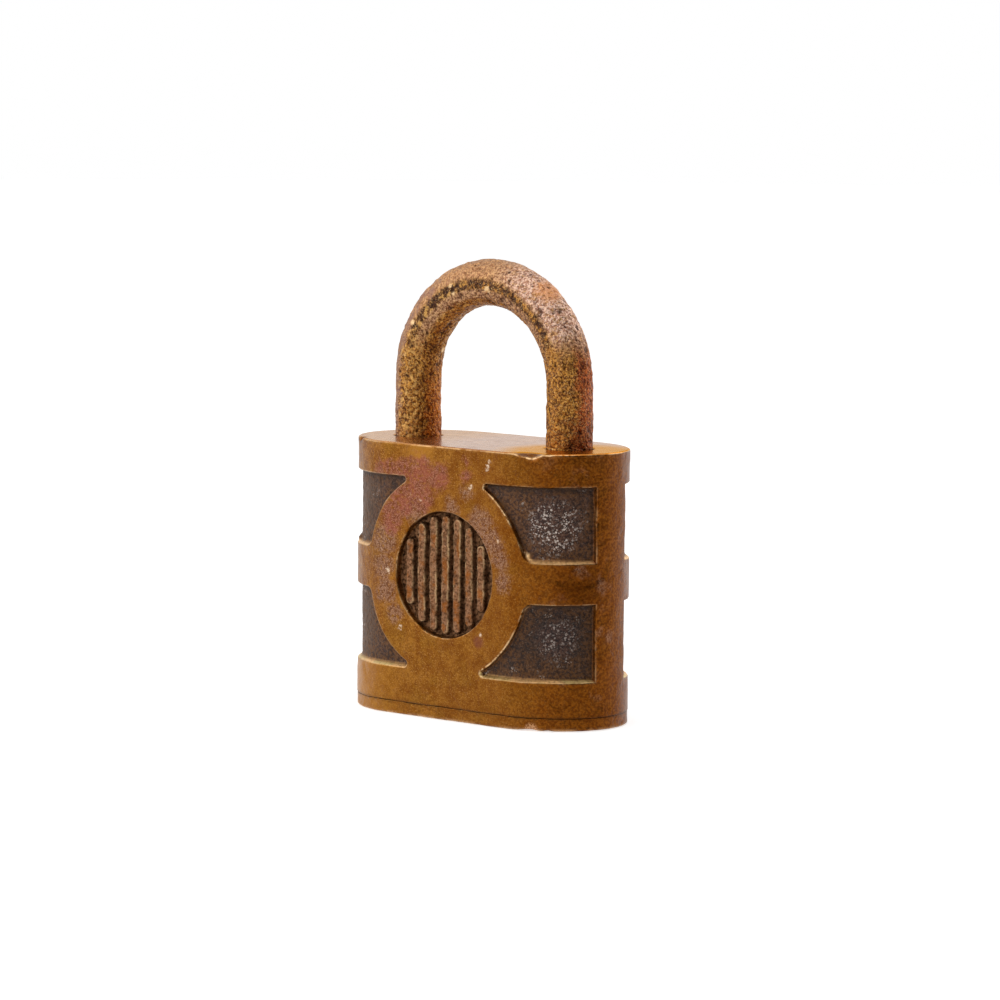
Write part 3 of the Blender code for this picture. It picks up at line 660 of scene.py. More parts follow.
# %% [markdown]
# The flat label is now triangulated and wrapped round the outline. Two kinds of unevenness go in on
# the way: the edge lines wander a little, as hand-finished edges do, and the skin sinks here and
# there. It only ever sinks, so the padlock stays inside the size that was measured.

# %% Unevenness
FOOT_INSET = 0.1 * MM


def noise_field(points, size, seed, octaves=3):
    """Fractal noise at points in metres, for lumps of a size in mm, about -1 to 1."""
    shift = Vector((seed * 17.3, seed * -9.1, seed * 5.7))
    scale = 1.0 / (size * MM)
    places = (Vector(point) * scale + shift for point in points.tolist())
    return np.array([noise.fractal(place, 1.0, 2.0, octaves) for place in places])


def smooth_step(low, high, values):
    t = np.clip((values - low) / (high - low), 0.0, 1.0)
    return t * t * (3 - 2 * t)


def sunk(points, size, seed, depth, start=0.0):
    """Inward depth of shallow hollows: nothing below the start value of the noise."""
    return depth * smooth_step(start, start + 0.45, noise_field(points, size, seed))


def wander(points, seeds):
    """How far the edge lines stray from where they were drawn, slowly and in fine steps."""
    slow = noise_field(points, 5.0, seeds[0], 2)
    fine = noise_field(points, 1.3, seeds[1], 2)
    return 0.10 * MM * slow + 0.035 * MM * fine


def wrap(s, z, depth):
    """Label points on the body. The top rows roll over the lip and the lowest under the foot."""
    x, y = around(s)[:2]
    plain = np.column_stack([x, y, z])
    rise = wander(plain, (2, 16))
    rise = rise * smooth_step(0.0, 3 * MM, z - FOOT_LEVEL) * smooth_step(0.0, 3 * MM, TOP - z)
    x, y, nx, ny = around(s + wander(plain, (1, 15)))
    roll = np.clip((z - (TOP - LIP_RADIUS)) / LIP_RADIUS, 0.0, math.pi / 2)
    inset = LIP_RADIUS * (1 - np.cos(roll)) + FOOT_INSET * (z < FOOT_LEVEL + 0.01 * MM)
    height = np.where(roll > 0, TOP - LIP_RADIUS + LIP_RADIUS * np.sin(roll), z + rise)
    hollow = sunk(plain, 9.0, 3, 0.10 * MM, -0.2) + sunk(plain, 2.4, 4, 0.05 * MM, 0.1)
    coarse = sunk(plain, 1.3, 17, 1.0, -0.1)
    hollow += coarse * 0.20 * MM * (inside_recess(s, z) > 0)
    hollow += coarse * 0.09 * MM * smooth_step(0.2 * MM, 0.6 * MM, inside_panel(s, z))
    inward = depth + inset + hollow
    return np.column_stack([x - nx * inward, y - ny * inward, height])


sample = sunk(np.random.default_rng(1).uniform(0.0, 50 * MM, (500, 3)), 9.0, 3, 0.10 * MM, -0.2)
print("broad hollows go down to, mm:", round(sample.max() / MM, 3))

# %% [markdown]
# A flat drawing becomes faces by triangulation: Blender's own constrained Delaunay function keeps
# the drawn lines as edges. The same function fills the top and the foot with a loose grid.

# %% Triangles
def triangulate(points, edges):
    """Constrained Delaunay triangles of flat points, and the source point of each new one."""
    flat = [tuple(point) for point in (points / MM).tolist()]
    result = delaunay_2d_cdt(flat, edges, [], 0, 1e-5, True)
    return np.array([origin[0] for origin in result[3]]), np.array(result[2])


def cap_fill(step, inset):
    """A loose grid inside the body's outline, seen from above."""
    columns = np.arange(-HALF_WIDTH, HALF_WIDTH, step)
    rows = np.arange(-HALF_THICKNESS, HALF_THICKNESS, step * math.sqrt(3) / 2)
    x, y = np.meshgrid(columns, rows)
    x = x + (np.arange(len(rows)) % 2)[:, None] * step / 2
    x = (x + shuffle.uniform(-JITTER, JITTER, x.shape) * step).ravel()
    y = (y + shuffle.uniform(-JITTER, JITTER, y.shape) * step).ravel()
    reach = np.maximum(np.abs(x) - FLAT_HALF, 0.0) / (END_REACH - inset)
    inside = reach**2 + (y / (HALF_THICKNESS - inset)) ** 2 < 1
    return np.column_stack([x[inside], y[inside]])


def cap_faces(ring, ring_points, fill, first):
    """Triangles over a closed ring of vertices and loose points numbered from first on.

    Slivers outside the ring run the other way round it, so they are left out.
    """
    count = len(ring)
    flat = np.concatenate([ring_points, fill])
    source, faces = triangulate(flat, [(i, (i + 1) % count) for i in range(count)])
    faces = source[faces]
    steps = (np.roll(faces, -1, axis=1) - faces) % count
    sliver = (faces < count).all(axis=1) & (steps.sum(axis=1) > count)
    numbers = np.concatenate([ring, first + np.arange(len(fill))])
    return numbers[faces[~sliver]]


def mesh_object(name, points, faces):
    used, numbers = np.unique(faces, return_inverse=True)
    points = points[used]
    faces = numbers.reshape(faces.shape)
    mesh = bpy.data.meshes.new(name)
    mesh.from_pydata(points.tolist(), [], faces.tolist())
    mesh.update()
    obj = bpy.data.objects.new(name, mesh)
    bpy.context.scene.collection.objects.link(obj)
    return obj


square = np.array([(0.0, 0.0), (1.0, 0.0), (1.0, 1.0), (0.0, 1.0)]) * MM
square_faces = triangulate(square, [(0, 1), (1, 2), (2, 3), (3, 0)])[1]
print("triangles in a square:", len(square_faces))

# %% [markdown]
# The label closes round the body: where it meets itself at the back, the points of its right edge
# are the points of its left edge. The top is a nearly level face that dips by a few hundredths of a
# millimetre, so that its shine breaks up as on a real casting.

# %% Faces of the case
TOP_STEP = 0.62 * MM
HIDDEN_STEP = 2.5 * MM
CASE_CLEAR = 0.9 * MM
SAME = 1e-8  # metres: two measures this close are one


def make_case():
    flat = np.concatenate(label.points)
    depths = np.concatenate(label.depths)
    source, faces = triangulate(flat, label.edges)
    faces = source[faces]
    left = np.flatnonzero(np.abs(flat[:, 0] + QUARTER) < SAME)
    right = np.flatnonzero(np.abs(flat[:, 0] - 3 * QUARTER) < SAME)
    left = left[np.argsort(flat[left, 1])]
    right = right[np.argsort(flat[right, 1])]
    partner = np.arange(len(flat))
    partner[right] = left
    faces = partner[faces]
    points = wrap(flat[:, 0], flat[:, 1], depths)
    lip = np.abs(flat[:, 1] - LIP_END) < SAME
    foot = np.abs(flat[:, 1] - FOOT_LEVEL) < SAME
    pieces = [faces]
    blocks = [points]
    total = len(points)
    for chosen, height, step in ((lip, TOP, TOP_STEP), (foot, FOOT_LEVEL, HIDDEN_STEP)):
        ring = np.flatnonzero(chosen)
        ring = ring[np.argsort(flat[ring, 0])][:-1]
        fill = cap_fill(step, CASE_CLEAR)
        level = np.full(len(fill), height)
        if height == TOP:
            plain = np.column_stack([fill, level])
            level = level - sunk(plain, 9.0, 5, 0.035 * MM, -0.3) - sunk(plain, 2.2, 6, 0.02 * MM, 0.2)
        cap = cap_faces(ring, points[ring, :2], fill, total)
        pieces.append(cap if height == TOP else cap[:, ::-1])
        blocks.append(np.column_stack([fill, level]))
        total += len(fill)
    return mesh_object("case", np.concatenate(blocks), np.concatenate(pieces))


case = make_case()
print("case faces:", len(case.data.polygons))

# %% [markdown]
# The photograph shows a long dent in the front's upper edge, a chip in the toe end's rim and small
# nibs on the outline. A blow pushes metal inward and down, most in its middle, so the points are
# moved along one direction by a bell-shaped amount. How worn the rim is gets stored on the points
# first, so the bright line follows the edge down into the dent.

# %% Dents
def vertex_places(obj):
    flat = np.empty(len(obj.data.vertices) * 3)
    obj.data.vertices.foreach_get("co", flat)
    return flat.reshape(-1, 3)


def store(obj, name, values):
    layer = obj.data.attributes.new(name, "FLOAT", "POINT")
    layer.data.foreach_set("value", np.asarray(values, np.float32))


def bell(values, centre, width):
    return np.exp(-(((values - centre) / width) ** 2))


def on_outline(points):
    """Distance round the outline for points near it, and how deep they lie inside."""
    past = np.maximum(np.abs(points[:, 0]) - FLAT_HALF, 0.0) / END_REACH
    side = np.abs(points[:, 1]) / HALF_THICKNESS
    scale = np.hypot(past, side)
    angle = np.arctan2(-side, past)
    edge_x = FLAT_HALF + END_REACH * np.cos(angle)
    t = np.where(past > 0, np.interp(edge_x, table_x, table_s), np.abs(points[:, 0]))
    return t, (1 - scale) * HALF_THICKNESS


def front_place(x, z):
    """A place on the front face, in mm."""
    past = max(abs(x * MM) - FLAT_HALF, 0.0) / END_REACH
    return (x, -HALF_THICKNESS * math.sqrt(1 - past**2) / MM, z)


def press(obj, centre, reach, push):
    """Moves the points round a centre by up to the push, both in mm, less with distance."""
    points = vertex_places(obj)
    share = (points / MM - np.array(centre)) / np.array(reach)
    amount = np.exp(-(share**2).sum(axis=1))
    points += amount[:, None] * np.array(push) * MM
    obj.data.vertices.foreach_set("co", points.ravel())
    obj.data.update()
    return int((amount > 0.05).sum())


def store_rim(obj):
    points = vertex_places(obj)
    inset = on_outline(points)[1]
    store(obj, "rim", bell(TOP - points[:, 2], 0.1 * MM, 0.22 * MM) * (inset < CASE_CLEAR))


RIM_Z = TOP / MM
# Centre, reach along each axis and push, all in mm.
DENTS = (
    (front_place(24.6, RIM_Z), (2.6, 1.7, 1.5), (0.1, 0.55, -1.15)),
    (front_place(21.8, RIM_Z), (1.4, 1.2, 0.9), (0.0, 0.3, -0.4)),
    (front_place(28.6, RIM_Z), (1.0, 0.9, 0.6), (0.0, 0.2, -0.25)),
    (front_place(-29.4, RIM_Z), (1.3, 0.9, 0.8), (0.2, 0.5, -0.55)),
    (front_place(-25.9, RIM_Z), (0.8, 0.5, 0.4), (0.1, 0.25, -0.3)),
    ((36.6, -5.2, 47.7), (1.0, 0.8, 1.0), (-0.5, 0.2, 0.0)),
    ((-32.0, -9.5, 39.4), (0.9, 0.9, 0.8), (-0.7, -0.6, 0.0)),
)
store_rim(case)
moved = sum(press(case, *dent) for dent in DENTS)
print("points moved by dents:", moved)

# %% [markdown]
# ## What is bored and cut into the case
# The holes of the packed model go into the new skin too. They could be left out, because little of
# them is seen, but then the shackle would rise out of solid metal. Boolean modifiers cut them, and
# each cutter is a stack of outlines: a circle for a drilled hole, a rectangle for a milled slot.

# %% Cutters
def circle_points(radius, steps, centre=(0.0, 0.0)):
    turn = np.linspace(0, 2 * math.pi, steps, endpoint=False)
    return np.column_stack([centre[0] + radius * np.cos(turn), centre[1] + radius * np.sin(turn)])


def stack(name, rows, axis="Z"):
    """A closed body through outlines with equal point counts, given as (distance, points)."""
    order = {"X": [2, 0, 1], "Y": [0, 2, 1], "Z": [0, 1, 2]}[axis]
    mesh = bmesh.new()
    rings = []
    for along, points in rows:
        block = np.column_stack([points, np.full(len(points), along)])[:, order]
        rings.append([mesh.verts.new(point) for point in block])
    count = len(rings[0])
    for lower, upper in zip(rings, rings[1:]):
        for i in range(count):
            j = (i + 1) % count
            mesh.faces.new((lower[i], lower[j], upper[j], upper[i]))
    mesh.faces.new(list(reversed(rings[0])))
    mesh.faces.new(rings[-1])
    bmesh.ops.recalc_face_normals(mesh, faces=mesh.faces)
    return link_object(name, mesh)


def turned(name, profile, steps, axis="Z", centre=(0.0, 0.0)):
    """A closed body of circles, given as (radius, distance)."""
    rows = [(along, circle_points(radius, steps, centre)) for radius, along in profile]
    return stack(name, rows, axis)


def block(name, low, high):
    x0, y0, z0 = low
    x1, y1, z1 = high
    outline = np.array([(x0, y0), (x1, y0), (x1, y1), (x0, y1)])
    return stack(name, [(z0, outline), (z1, outline)])


def apply_modifiers(obj):
    bpy.context.view_layer.update()
    graph = bpy.context.evaluated_depsgraph_get()
    mesh = bpy.data.meshes.new_from_object(obj.evaluated_get(graph))
    obj.modifiers.clear()
    obj.data = mesh


def carve(obj, cutters):
    """Takes closed cutters out of an object and removes them."""
    for cutter in cutters:
        cut = obj.modifiers.new("cut " + cutter.name, "BOOLEAN")
        cut.operation = "DIFFERENCE"
        cut.solver = "MANIFOLD"
        cut.object = cutter
    apply_modifiers(obj)
    for cutter in cutters:
        bpy.data.objects.remove(cutter)


print("second of 12 points round a 1 mm circle:", circle_points(MM, 12)[1] / MM)

# %% [markdown]
# Each hole takes its place and size from the packed piece that sits in it, plus a gap: the key
# cylinder's cavity, the bolt's slot, the two leg holes, the heel pin's bore and the rivets' bores.
# The leg holes open in a small worn flare.

# %% Bore the case
GAP = 0.3 * MM  # left round the packed pieces
OVER = 1.0 * MM  # how far a cutter reaches past a surface
shackle_low, shackle_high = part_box("shackle")
housing_low, housing_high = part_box("cylinder_housing")
spacer_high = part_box("spacer_block")[1]
bolt_low, bolt_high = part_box("locking_bolt")
heel_pin_low, heel_pin_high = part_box("heel_pin")
rivet_low, rivet_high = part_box("base_rivet_heel")
LEG_X = 23.1 * MM
BAR_RADIUS = shackle_high.y
TOE_BOTTOM = 49.5 * MM
RIVET_X = (rivet_low.x + rivet_high.x) / 2
HEAD_RADIUS = rivet_high.y
HEAD_TOP = rivet_low.z + 1.4 * MM
SHANK_RADIUS = 1.5 * MM


def keyhole_points():
    """The cylinder's barrel with an arm that runs towards the toe."""
    radius = housing_high.y + GAP
    half = 3.7 * MM
    start = math.asin(half / radius)
    turn = np.linspace(-math.pi + start, math.pi - start, 72)
    barrel = np.column_stack([radius * np.cos(turn), radius * np.sin(turn)])
    reach = housing_low.x - GAP
    return np.concatenate([barrel, [(reach, half), (reach, -half)]])


def leg_hole(name, x, bottom):
    radius = BAR_RADIUS + GAP
    profile = [
        (radius, bottom),
        (radius, TOP - 0.7 * MM),
        (radius + 0.06 * MM, TOP - 0.35 * MM),
        (radius + 0.22 * MM, TOP - 0.05 * MM),
        (radius + 0.9 * MM, TOP + 0.4 * MM),
    ]
    return turned(name, profile, 96, "Z", (x, 0.0))


def rivet_bore(name, x):
    profile = [
        (HEAD_RADIUS + GAP, base_low.z - OVER),
        (HEAD_RADIUS + GAP, rivet_low.z),
        (SHANK_RADIUS + GAP, HEAD_TOP),
        (SHANK_RADIUS + GAP, rivet_high.z + GAP),
    ]
    return turned(name, profile, 40, "Z", (x, 0.0))


def bore_case():
    slot_half = bolt_high.y + GAP
    slot_low = (-LEG_X, -slot_half, spacer_high.z)
    slot_high = (bolt_high.x + GAP, slot_half, bolt_high.z + GAP)
    outline = keyhole_points()
    pin_x = (heel_pin_low.x + heel_pin_high.x) / 2
    pin_z = (heel_pin_low.z + heel_pin_high.z) / 2
    pin_radius = (heel_pin_high.x - heel_pin_low.x) / 2 + GAP
    pin_profile = [(pin_radius, heel_pin_low.y - GAP), (pin_radius, HALF_THICKNESS + OVER)]
    carve(case, [
        stack("cavity", [(base_high.z - OVER, outline), (spacer_high.z + GAP, outline)]),
        block("slot", slot_low, slot_high),
        leg_hole("toe hole", -LEG_X, TOE_BOTTOM - GAP),
        leg_hole("heel hole", LEG_X, shackle_low.z - GAP),
        turned("pin bore", pin_profile, 40, "Y", (pin_x, pin_z)),
        rivet_bore("toe rivet bore", -RIVET_X),
        rivet_bore("heel rivet bore", RIVET_X),
    ])


bore_case()
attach(case, "case")
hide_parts("case_body")
print("bored case faces:", len(case.data.polygons))

# %% [markdown]
# ## The base plate
# The bottom is a plate of the same outline. Its wall is drawn row by row round the same outline, its
# lower edge is rounded, and the plug's opening and the rivets' bores are cut through it.

# %% Base plate
BASE_ROUND = 0.5 * MM
BASE_STEP = 0.36 * MM
UNDERSIDE_STEP = 0.8 * MM
BASE_CLEAR = 1.1 * MM
PLUG_OPENING = 7.8 * MM


def base_rows():
    """The wall of the base as pairs of inset and height, from its rounded lower edge up."""
    turn = np.linspace(0, math.pi / 2, 5)
    rows = [(BASE_ROUND * (1 - math.sin(a)), BASE_ROUND * (1 - math.cos(a))) for a in turn]
    climb = np.linspace(BASE_ROUND, base_high.z - 0.12 * MM, 8)[1:]
    rows += [(0.0, float(height)) for height in climb]
    return [*rows, (FOOT_INSET, base_high.z)]


def make_base():
    rows = base_rows()
    count = int(4 * QUARTER / BASE_STEP)
    s = np.linspace(-QUARTER, 3 * QUARTER, count, endpoint=False)
    x, y, nx, ny = around(s)
    blocks = []
    for inset, height in rows:
        plain = np.column_stack([x, y, np.full(count, height)])
        hollow = sunk(plain, 9.0, 8, 0.10 * MM, -0.2) + sunk(plain, 2.2, 9, 0.08 * MM, 0.1)
        inward = inset + hollow
        blocks.append(np.column_stack([x - nx * inward, y - ny * inward, plain[:, 2]]))
    points = np.concatenate(blocks)
    around_ring = np.arange(count)
    following = (around_ring + 1) % count
    pieces = []
    for row in range(len(rows) - 1):
        a, b = row * count + around_ring, row * count + following
        c, d = b + count, a + count
        pieces += [np.column_stack([a, b, c]), np.column_stack([a, c, d])]
    total = len(points)
    blocks = [points]
    caps = ((0, 0.0, UNDERSIDE_STEP), (len(rows) - 1, base_high.z, HIDDEN_STEP))
    for row, height, step in caps:
        ring = row * count + around_ring
        fill = cap_fill(step, BASE_CLEAR)
        level = np.full(len(fill), height)
        if row == 0:
            level = level + sunk(np.column_stack([fill, level]), 3.0, 10, 0.08 * MM, 0.0)
        cap = cap_faces(ring, points[ring, :2], fill, total)
        pieces.append(cap[:, ::-1] if row == 0 else cap)
        blocks.append(np.column_stack([fill, level]))
        total += len(fill)
    return mesh_object("base", np.concatenate(blocks), np.concatenate(pieces))


base = make_base()
press(base, front_place(25.5, 0.0), (2.6, 0.9, 0.8), (0.0, 0.45, 0.45))
press(base, front_place(29.0, 0.0), (1.0, 0.7, 0.5), (0.0, 0.3, 0.3))
opening = [(PLUG_OPENING, base_low.z - OVER), (PLUG_OPENING, base_high.z + OVER)]
carve(base, [
    turned("plug opening", opening, 96),
    rivet_bore("toe rivet bore", -RIVET_X),
    rivet_bore("heel rivet bore", RIVET_X),
])
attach(base, "case")
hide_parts("base_plate")
print("base faces:", len(base.data.polygons))

# %% [markdown]
# ## The shackle
# The bar was forged and then left outdoors: its skin is eaten into pits and flakes. A curve with a
# bevel would give a smooth bar. Here rings of points follow the bar's path and each point sinks by
# noise, so the pits are real hollows that show in the outline too.

# %% Path of the bar
ARCH_CENTRE = shackle_high.z - BAR_RADIUS - LEG_X
SKIN_STEP = 0.32 * MM
LEG_CHAMFER = 0.6 * MM
HIDDEN_LEG = 1.2 * MM  # below the case's top, where the rings stand further apart


def bar_path():
    """Centres, outward directions and radii from the heel's end over the arch to the toe's end."""
    edge = LEG_CHAMFER
    hidden = TOP - HIDDEN_LEG
    heel = np.concatenate([
        [shackle_low.z, shackle_low.z + edge],
        np.linspace(shackle_low.z + 2 * edge, hidden, 24),
        np.arange(hidden + SKIN_STEP, ARCH_CENTRE, SKIN_STEP),
    ])
    toe = np.concatenate([
        np.arange(ARCH_CENTRE - SKIN_STEP, hidden, -SKIN_STEP),
        np.linspace(hidden, TOE_BOTTOM + 2 * edge, 9),
        [TOE_BOTTOM + edge, TOE_BOTTOM],
    ])
    turn = np.linspace(0, math.pi, int(math.pi * LEG_X / SKIN_STEP))
    centres = np.concatenate([
        np.column_stack([np.full(len(heel), LEG_X), heel]),
        np.column_stack([LEG_X * np.cos(turn), ARCH_CENTRE + LEG_X * np.sin(turn)]),
        np.column_stack([np.full(len(toe), -LEG_X), toe]),
    ])
    outward = np.concatenate([
        np.tile([1.0, 0.0], (len(heel), 1)),
        np.column_stack([np.cos(turn), np.sin(turn)]),
        np.tile([-1.0, 0.0], (len(toe), 1)),
    ])
    radii = np.full(len(centres), BAR_RADIUS)
    radii[[0, -1]] -= edge
    return centres, outward, radii


print("rings along the bar:", len(bar_path()[0]))

# %% [markdown]
# The skin is eaten in four ways, one on top of the other: broad hollows, flakes, slanting grooves
# and small pocks. Each is noise of its own size. Only the part above the case is eaten, because the
# rest slid in the case and stayed smooth.

# %% Skin of the bar
BAR_SIDES = 108


def tube_faces(rows, sides):
    """Triangles of a closed tube whose points come ring by ring."""
    index = np.arange(rows * sides).reshape(rows, sides)
    following = np.roll(index, -1, axis=1)
    a, b, c, d = (part.ravel() for part in (index[:-1], following[:-1], following[1:], index[1:]))
    first, last = index[0], index[-1]
    fan = np.full(sides - 2, first[0])
    end = np.full(sides - 2, last[0])
    return np.concatenate([
        np.column_stack([a, b, c]),
        np.column_stack([a, c, d]),
        np.column_stack([first[2:], first[1:-1], fan]),
        np.column_stack([end, last[1:-1], last[2:]]),
    ])


def pit_depth(points):
    """How deep the skin of the bar is eaten."""
    broad = sunk(points, 6.0, 11, 0.10 * MM, -0.35)
    flakes = sunk(points, 2.2, 12, 0.14 * MM, -0.05)
    slanted = points @ np.array([[1.0, 0.0, 0.7], [0.0, 1.0, 0.0], [-0.25, 0.0, 0.55]])
    grooves = sunk(slanted, 1.5, 13, 0.20 * MM, 0.16)
    pocks = sunk(points, 0.8, 14, 0.16 * MM, 0.1)
    return broad + flakes + grooves + pocks


def make_shackle():
    centres, outward, radii = bar_path()
    turn = np.linspace(0, 2 * math.pi, BAR_SIDES, endpoint=False)
    rows = len(centres)
    level = np.zeros(rows)
    out = np.column_stack([outward[:, 0], level, outward[:, 1]])
    across = np.cos(turn)[None, :, None] * out[:, None, :]
    aside = np.sin(turn)[None, :, None] * np.array([0.0, -1.0, 0.0])
    spokes = (across + aside).reshape(-1, 3)
    middle = np.repeat(np.column_stack([centres[:, 0], level, centres[:, 1]]), BAR_SIDES, axis=0)
    radius = np.repeat(radii, BAR_SIDES)
    plain = middle + spokes * radius[:, None]
    depth = pit_depth(plain) * smooth_step(TOP - 3 * MM, TOP + 1 * MM, plain[:, 2])
    points = middle + spokes * (radius - depth)[:, None]
    return mesh_object("pitted_shackle", points, tube_faces(rows, BAR_SIDES))


shackle = make_shackle()
print("pitted faces:", len(shackle.data.polygons))

# %% [markdown]
# The toe has a notch that the bolt enters. The heel has a flat, along which its pin slides when the
# shackle is lifted, and a groove at the bottom, so that the lifted shackle can swing. They are cut
# like the holes of the case. The groove is a ring: a disc with its core taken out first.

# %% Notch, flat and groove
NOTCH_DEPTH = 3.0 * MM
LIFT = 14.5 * MM  # how far the shackle slides up
GROOVE_HEIGHT = 4.2 * MM
GROOVE_DEPTH = 2.4 * MM
GROOVE_SIDES = 72


def relieve_shackle():
    inner = -LEG_X + BAR_RADIUS
    past = BAR_RADIUS + OVER
    flat_bottom = heel_pin_low.z - GAP - LIFT
    groove_top = flat_bottom + GROOVE_HEIGHT
    core_radius = BAR_RADIUS - GROOVE_DEPTH
    ring = [(past, flat_bottom), (past, groove_top)]
    core = [(core_radius, flat_bottom - OVER), (core_radius, groove_top + OVER)]
    groove = turned("groove", ring, GROOVE_SIDES, "Z", (LEG_X, 0.0))
    carve(groove, [turned("groove core", core, GROOVE_SIDES, "Z", (LEG_X, 0.0))])
    notch_low = (inner - NOTCH_DEPTH, -past, bolt_low.z - GAP)
    notch_high = (inner + OVER, past, bolt_high.z + GAP)
    flat_low = (LEG_X - past, -past, flat_bottom)
    flat_high = (heel_pin_high.x + GAP, past, heel_pin_high.z + GAP)
    carve(shackle, [block("notch", notch_low, notch_high), block("flat", flat_low, flat_high), groove])


relieve_shackle()
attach(shackle, "shackle")
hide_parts("shackle")
print("shackle faces:", len(shackle.data.polygons))

# %% [markdown]
# ## Paint by node
# Every finish is a small tree of nodes, so it has no picture behind it and looks the same from all
# sides. Building a tree by hand is slow to read. A small class keeps the usual steps in one line
# each: noise of a size in millimetres, a soft threshold, a mix of two colours and a bump.

# %% Colours
def linear(value):
    """A screen value, 0 to 255, in linear light."""
    value /= 255
    return value / 12.92 if value <= 0.04045 else ((value + 0.055) / 1.055) ** 2.4


def paint(red, green, blue):
    """A colour as seen on screen, turned into the linear colour that Blender mixes."""
    return (linear(red), linear(green), linear(blue), 1.0)


print("paint(128, 128, 128) is", round(paint(128, 128, 128)[0], 3), "in linear light")

# %% [markdown]
# The class holds the tree of one finish. Each method adds one or two nodes and returns the socket
# that comes out, so that a line of the recipe reads like a step at the bench.

# %% Finish helper
class Finish:
    """One procedural material under construction."""

    def __init__(self, name, **noises):
        """The noises, each a size, a detail and a seed, are kept under their own names."""
        self.material, self.tree, self.shader = new_material(name)
        self.place = self.node("ShaderNodeTexCoord").outputs["Object"]
        self.height = None
        for noise_name, recipe in noises.items():
            setattr(self, noise_name, self.noise(*recipe))

    def node(self, kind, **settings):
        return new_node(self.tree, kind, **settings)

    def attribute(self, name):
        return self.node("ShaderNodeAttribute", attribute_name=name).outputs["Fac"]

    def noise(self, size, detail=3.0, seed=0.0, stretch=(1.0, 1.0, 1.0)):
        """Noise with lumps of a size in mm, 0 to 1 round a middle of 0.5."""
        shift = (seed * 0.037, seed * -0.021, seed * 0.013)
        place = self.node("ShaderNodeMapping", Vector=self.place, Location=shift, Scale=stretch)
        scale = 1.0 / (size * MM)
        lumps = self.node("ShaderNodeTexNoise", Vector=place.outputs[0], Scale=scale, Detail=detail)
        return lumps.outputs["Fac"]

    def cells(self, size, seed=0.0):
        """Distance from scattered points about a size in mm apart, 0 at each point."""
        shift = (seed * 0.041, seed * 0.017, seed * -0.029)
        mapping = self.node("ShaderNodeMapping", Vector=self.place, Location=shift)
        cell = self.node("ShaderNodeTexVoronoi", Vector=mapping.outputs[0], Scale=1.0 / (size * MM))
        return cell.outputs["Distance"]

    def step(self, socket, low, high):
        """A soft threshold: 0 below low, 1 above high, or the other way round if low is larger."""
        flip = low > high
        node = self.node(
            "ShaderNodeMapRange", interpolation_type="SMOOTHSTEP", Value=socket,
            From_Min=min(low, high), From_Max=max(low, high),
            To_Min=1.0 if flip else 0.0, To_Max=0.0 if flip else 1.0,
        )
        return node.outputs[0]

    def past(self, socket, low, high):
        """A soft threshold of a measure, between two values in mm."""
        return self.step(socket, low * MM, high * MM)

    def math(self, operation, a, b):
        node = self.node("ShaderNodeMath", operation=operation)
        feed(self.tree, a, node.inputs[0])
        feed(self.tree, b, node.inputs[1])
        return node.outputs[0]

    def times(self, *factors):
        """The product of sockets and numbers."""
        product = factors[0]
        for factor in factors[1:]:
            product = self.math("MULTIPLY", product, factor)
        return product

    def either(self, a, b):
        """The larger of two."""
        return self.math("MAXIMUM", a, b)

    def mix(self, factor, a, b):
        """A colour mix, from a where the factor is 0 to b where it is 1."""
        node = self.node("ShaderNodeMix", data_type="RGBA")
        for index, value in ((0, factor), (6, a), (7, b)):
            feed(self.tree, value, node.inputs[index])
        return node.outputs[2]

    def tones(self, socket, low, high, dark, light):
        """Two screen colours, the first where a noise is below low, the second above high."""
        return self.mix(self.step(socket, low, high), paint(*dark), paint(*light))

    def wash(self, tone, colour, *shares):
        """Lays a screen colour or another tone over a tone, by the product of the shares."""
        over = colour if isinstance(colour, bpy.types.NodeSocket) else paint(*colour)
        return self.mix(self.times(*shares), tone, over)

    def spot(self, centre, radius, soft, ragged=None):
        """1 within a ball round a place in mm, with a soft rim, moved in and out by ragged."""
        node = self.node("ShaderNodeVectorMath", operation="DISTANCE")
        link(self.tree, self.place, node.inputs[0])
        node.inputs[1].default_value = [value * MM for value in centre]
        distance = node.outputs["Value"]
        if ragged:
            distance = self.math("ADD", distance, ragged)
        return self.past(distance, radius + soft, radius - soft)

    def wobble(self, size, reach, seed):
        """A distance that wanders by up to about a reach in mm."""
        return self.times(self.math("SUBTRACT", self.noise(size, 4.0, seed), 0.5), 4 * reach * MM)

    def axis(self, letter):
        parts = self.node("ShaderNodeSeparateXYZ", Vector=self.place)
        return parts.outputs[letter]

    def bump(self, socket, depth):
        """Adds fine relief, with its depth in mm."""
        settings = {"Height": socket, "Strength": 1.0, "Distance": depth * MM}
        if self.height:
            settings["Normal"] = self.height
        self.height = self.node("ShaderNodeBump", **settings).outputs[0]

    def done(self, colour, roughness, metallic):
        for name, value in (("Base Color", colour), ("Roughness", roughness), ("Metallic", metallic)):
            feed(self.tree, value, self.shader.inputs[name])
        if self.height:
            link(self.tree, self.height, self.shader.inputs["Normal"])
        return self.material


print("steps of a finish:", [name for name in vars(Finish) if not name.startswith("_")])

# %% [markdown]
# The dirt, the wear and some painted light follow the form: edges are rubbed bright, corners at the
# foot of a wall are darkened by grime and painted shade, walls that face up get a painted highlight
# and the panels a painted shadow under the bands. So each point of the new meshes stores how near it
# lies to an edge or a foot, and the nodes read that. It could be found with a pointiness node, but
# stored values also work elsewhere.

# %% Store the form on the case
SKIN_DEPTH = 2.1 * MM  # what lies deeper is a bore
WALL_MIDDLE = 0.4 * MM  # of the walls that face up, above their lower edge


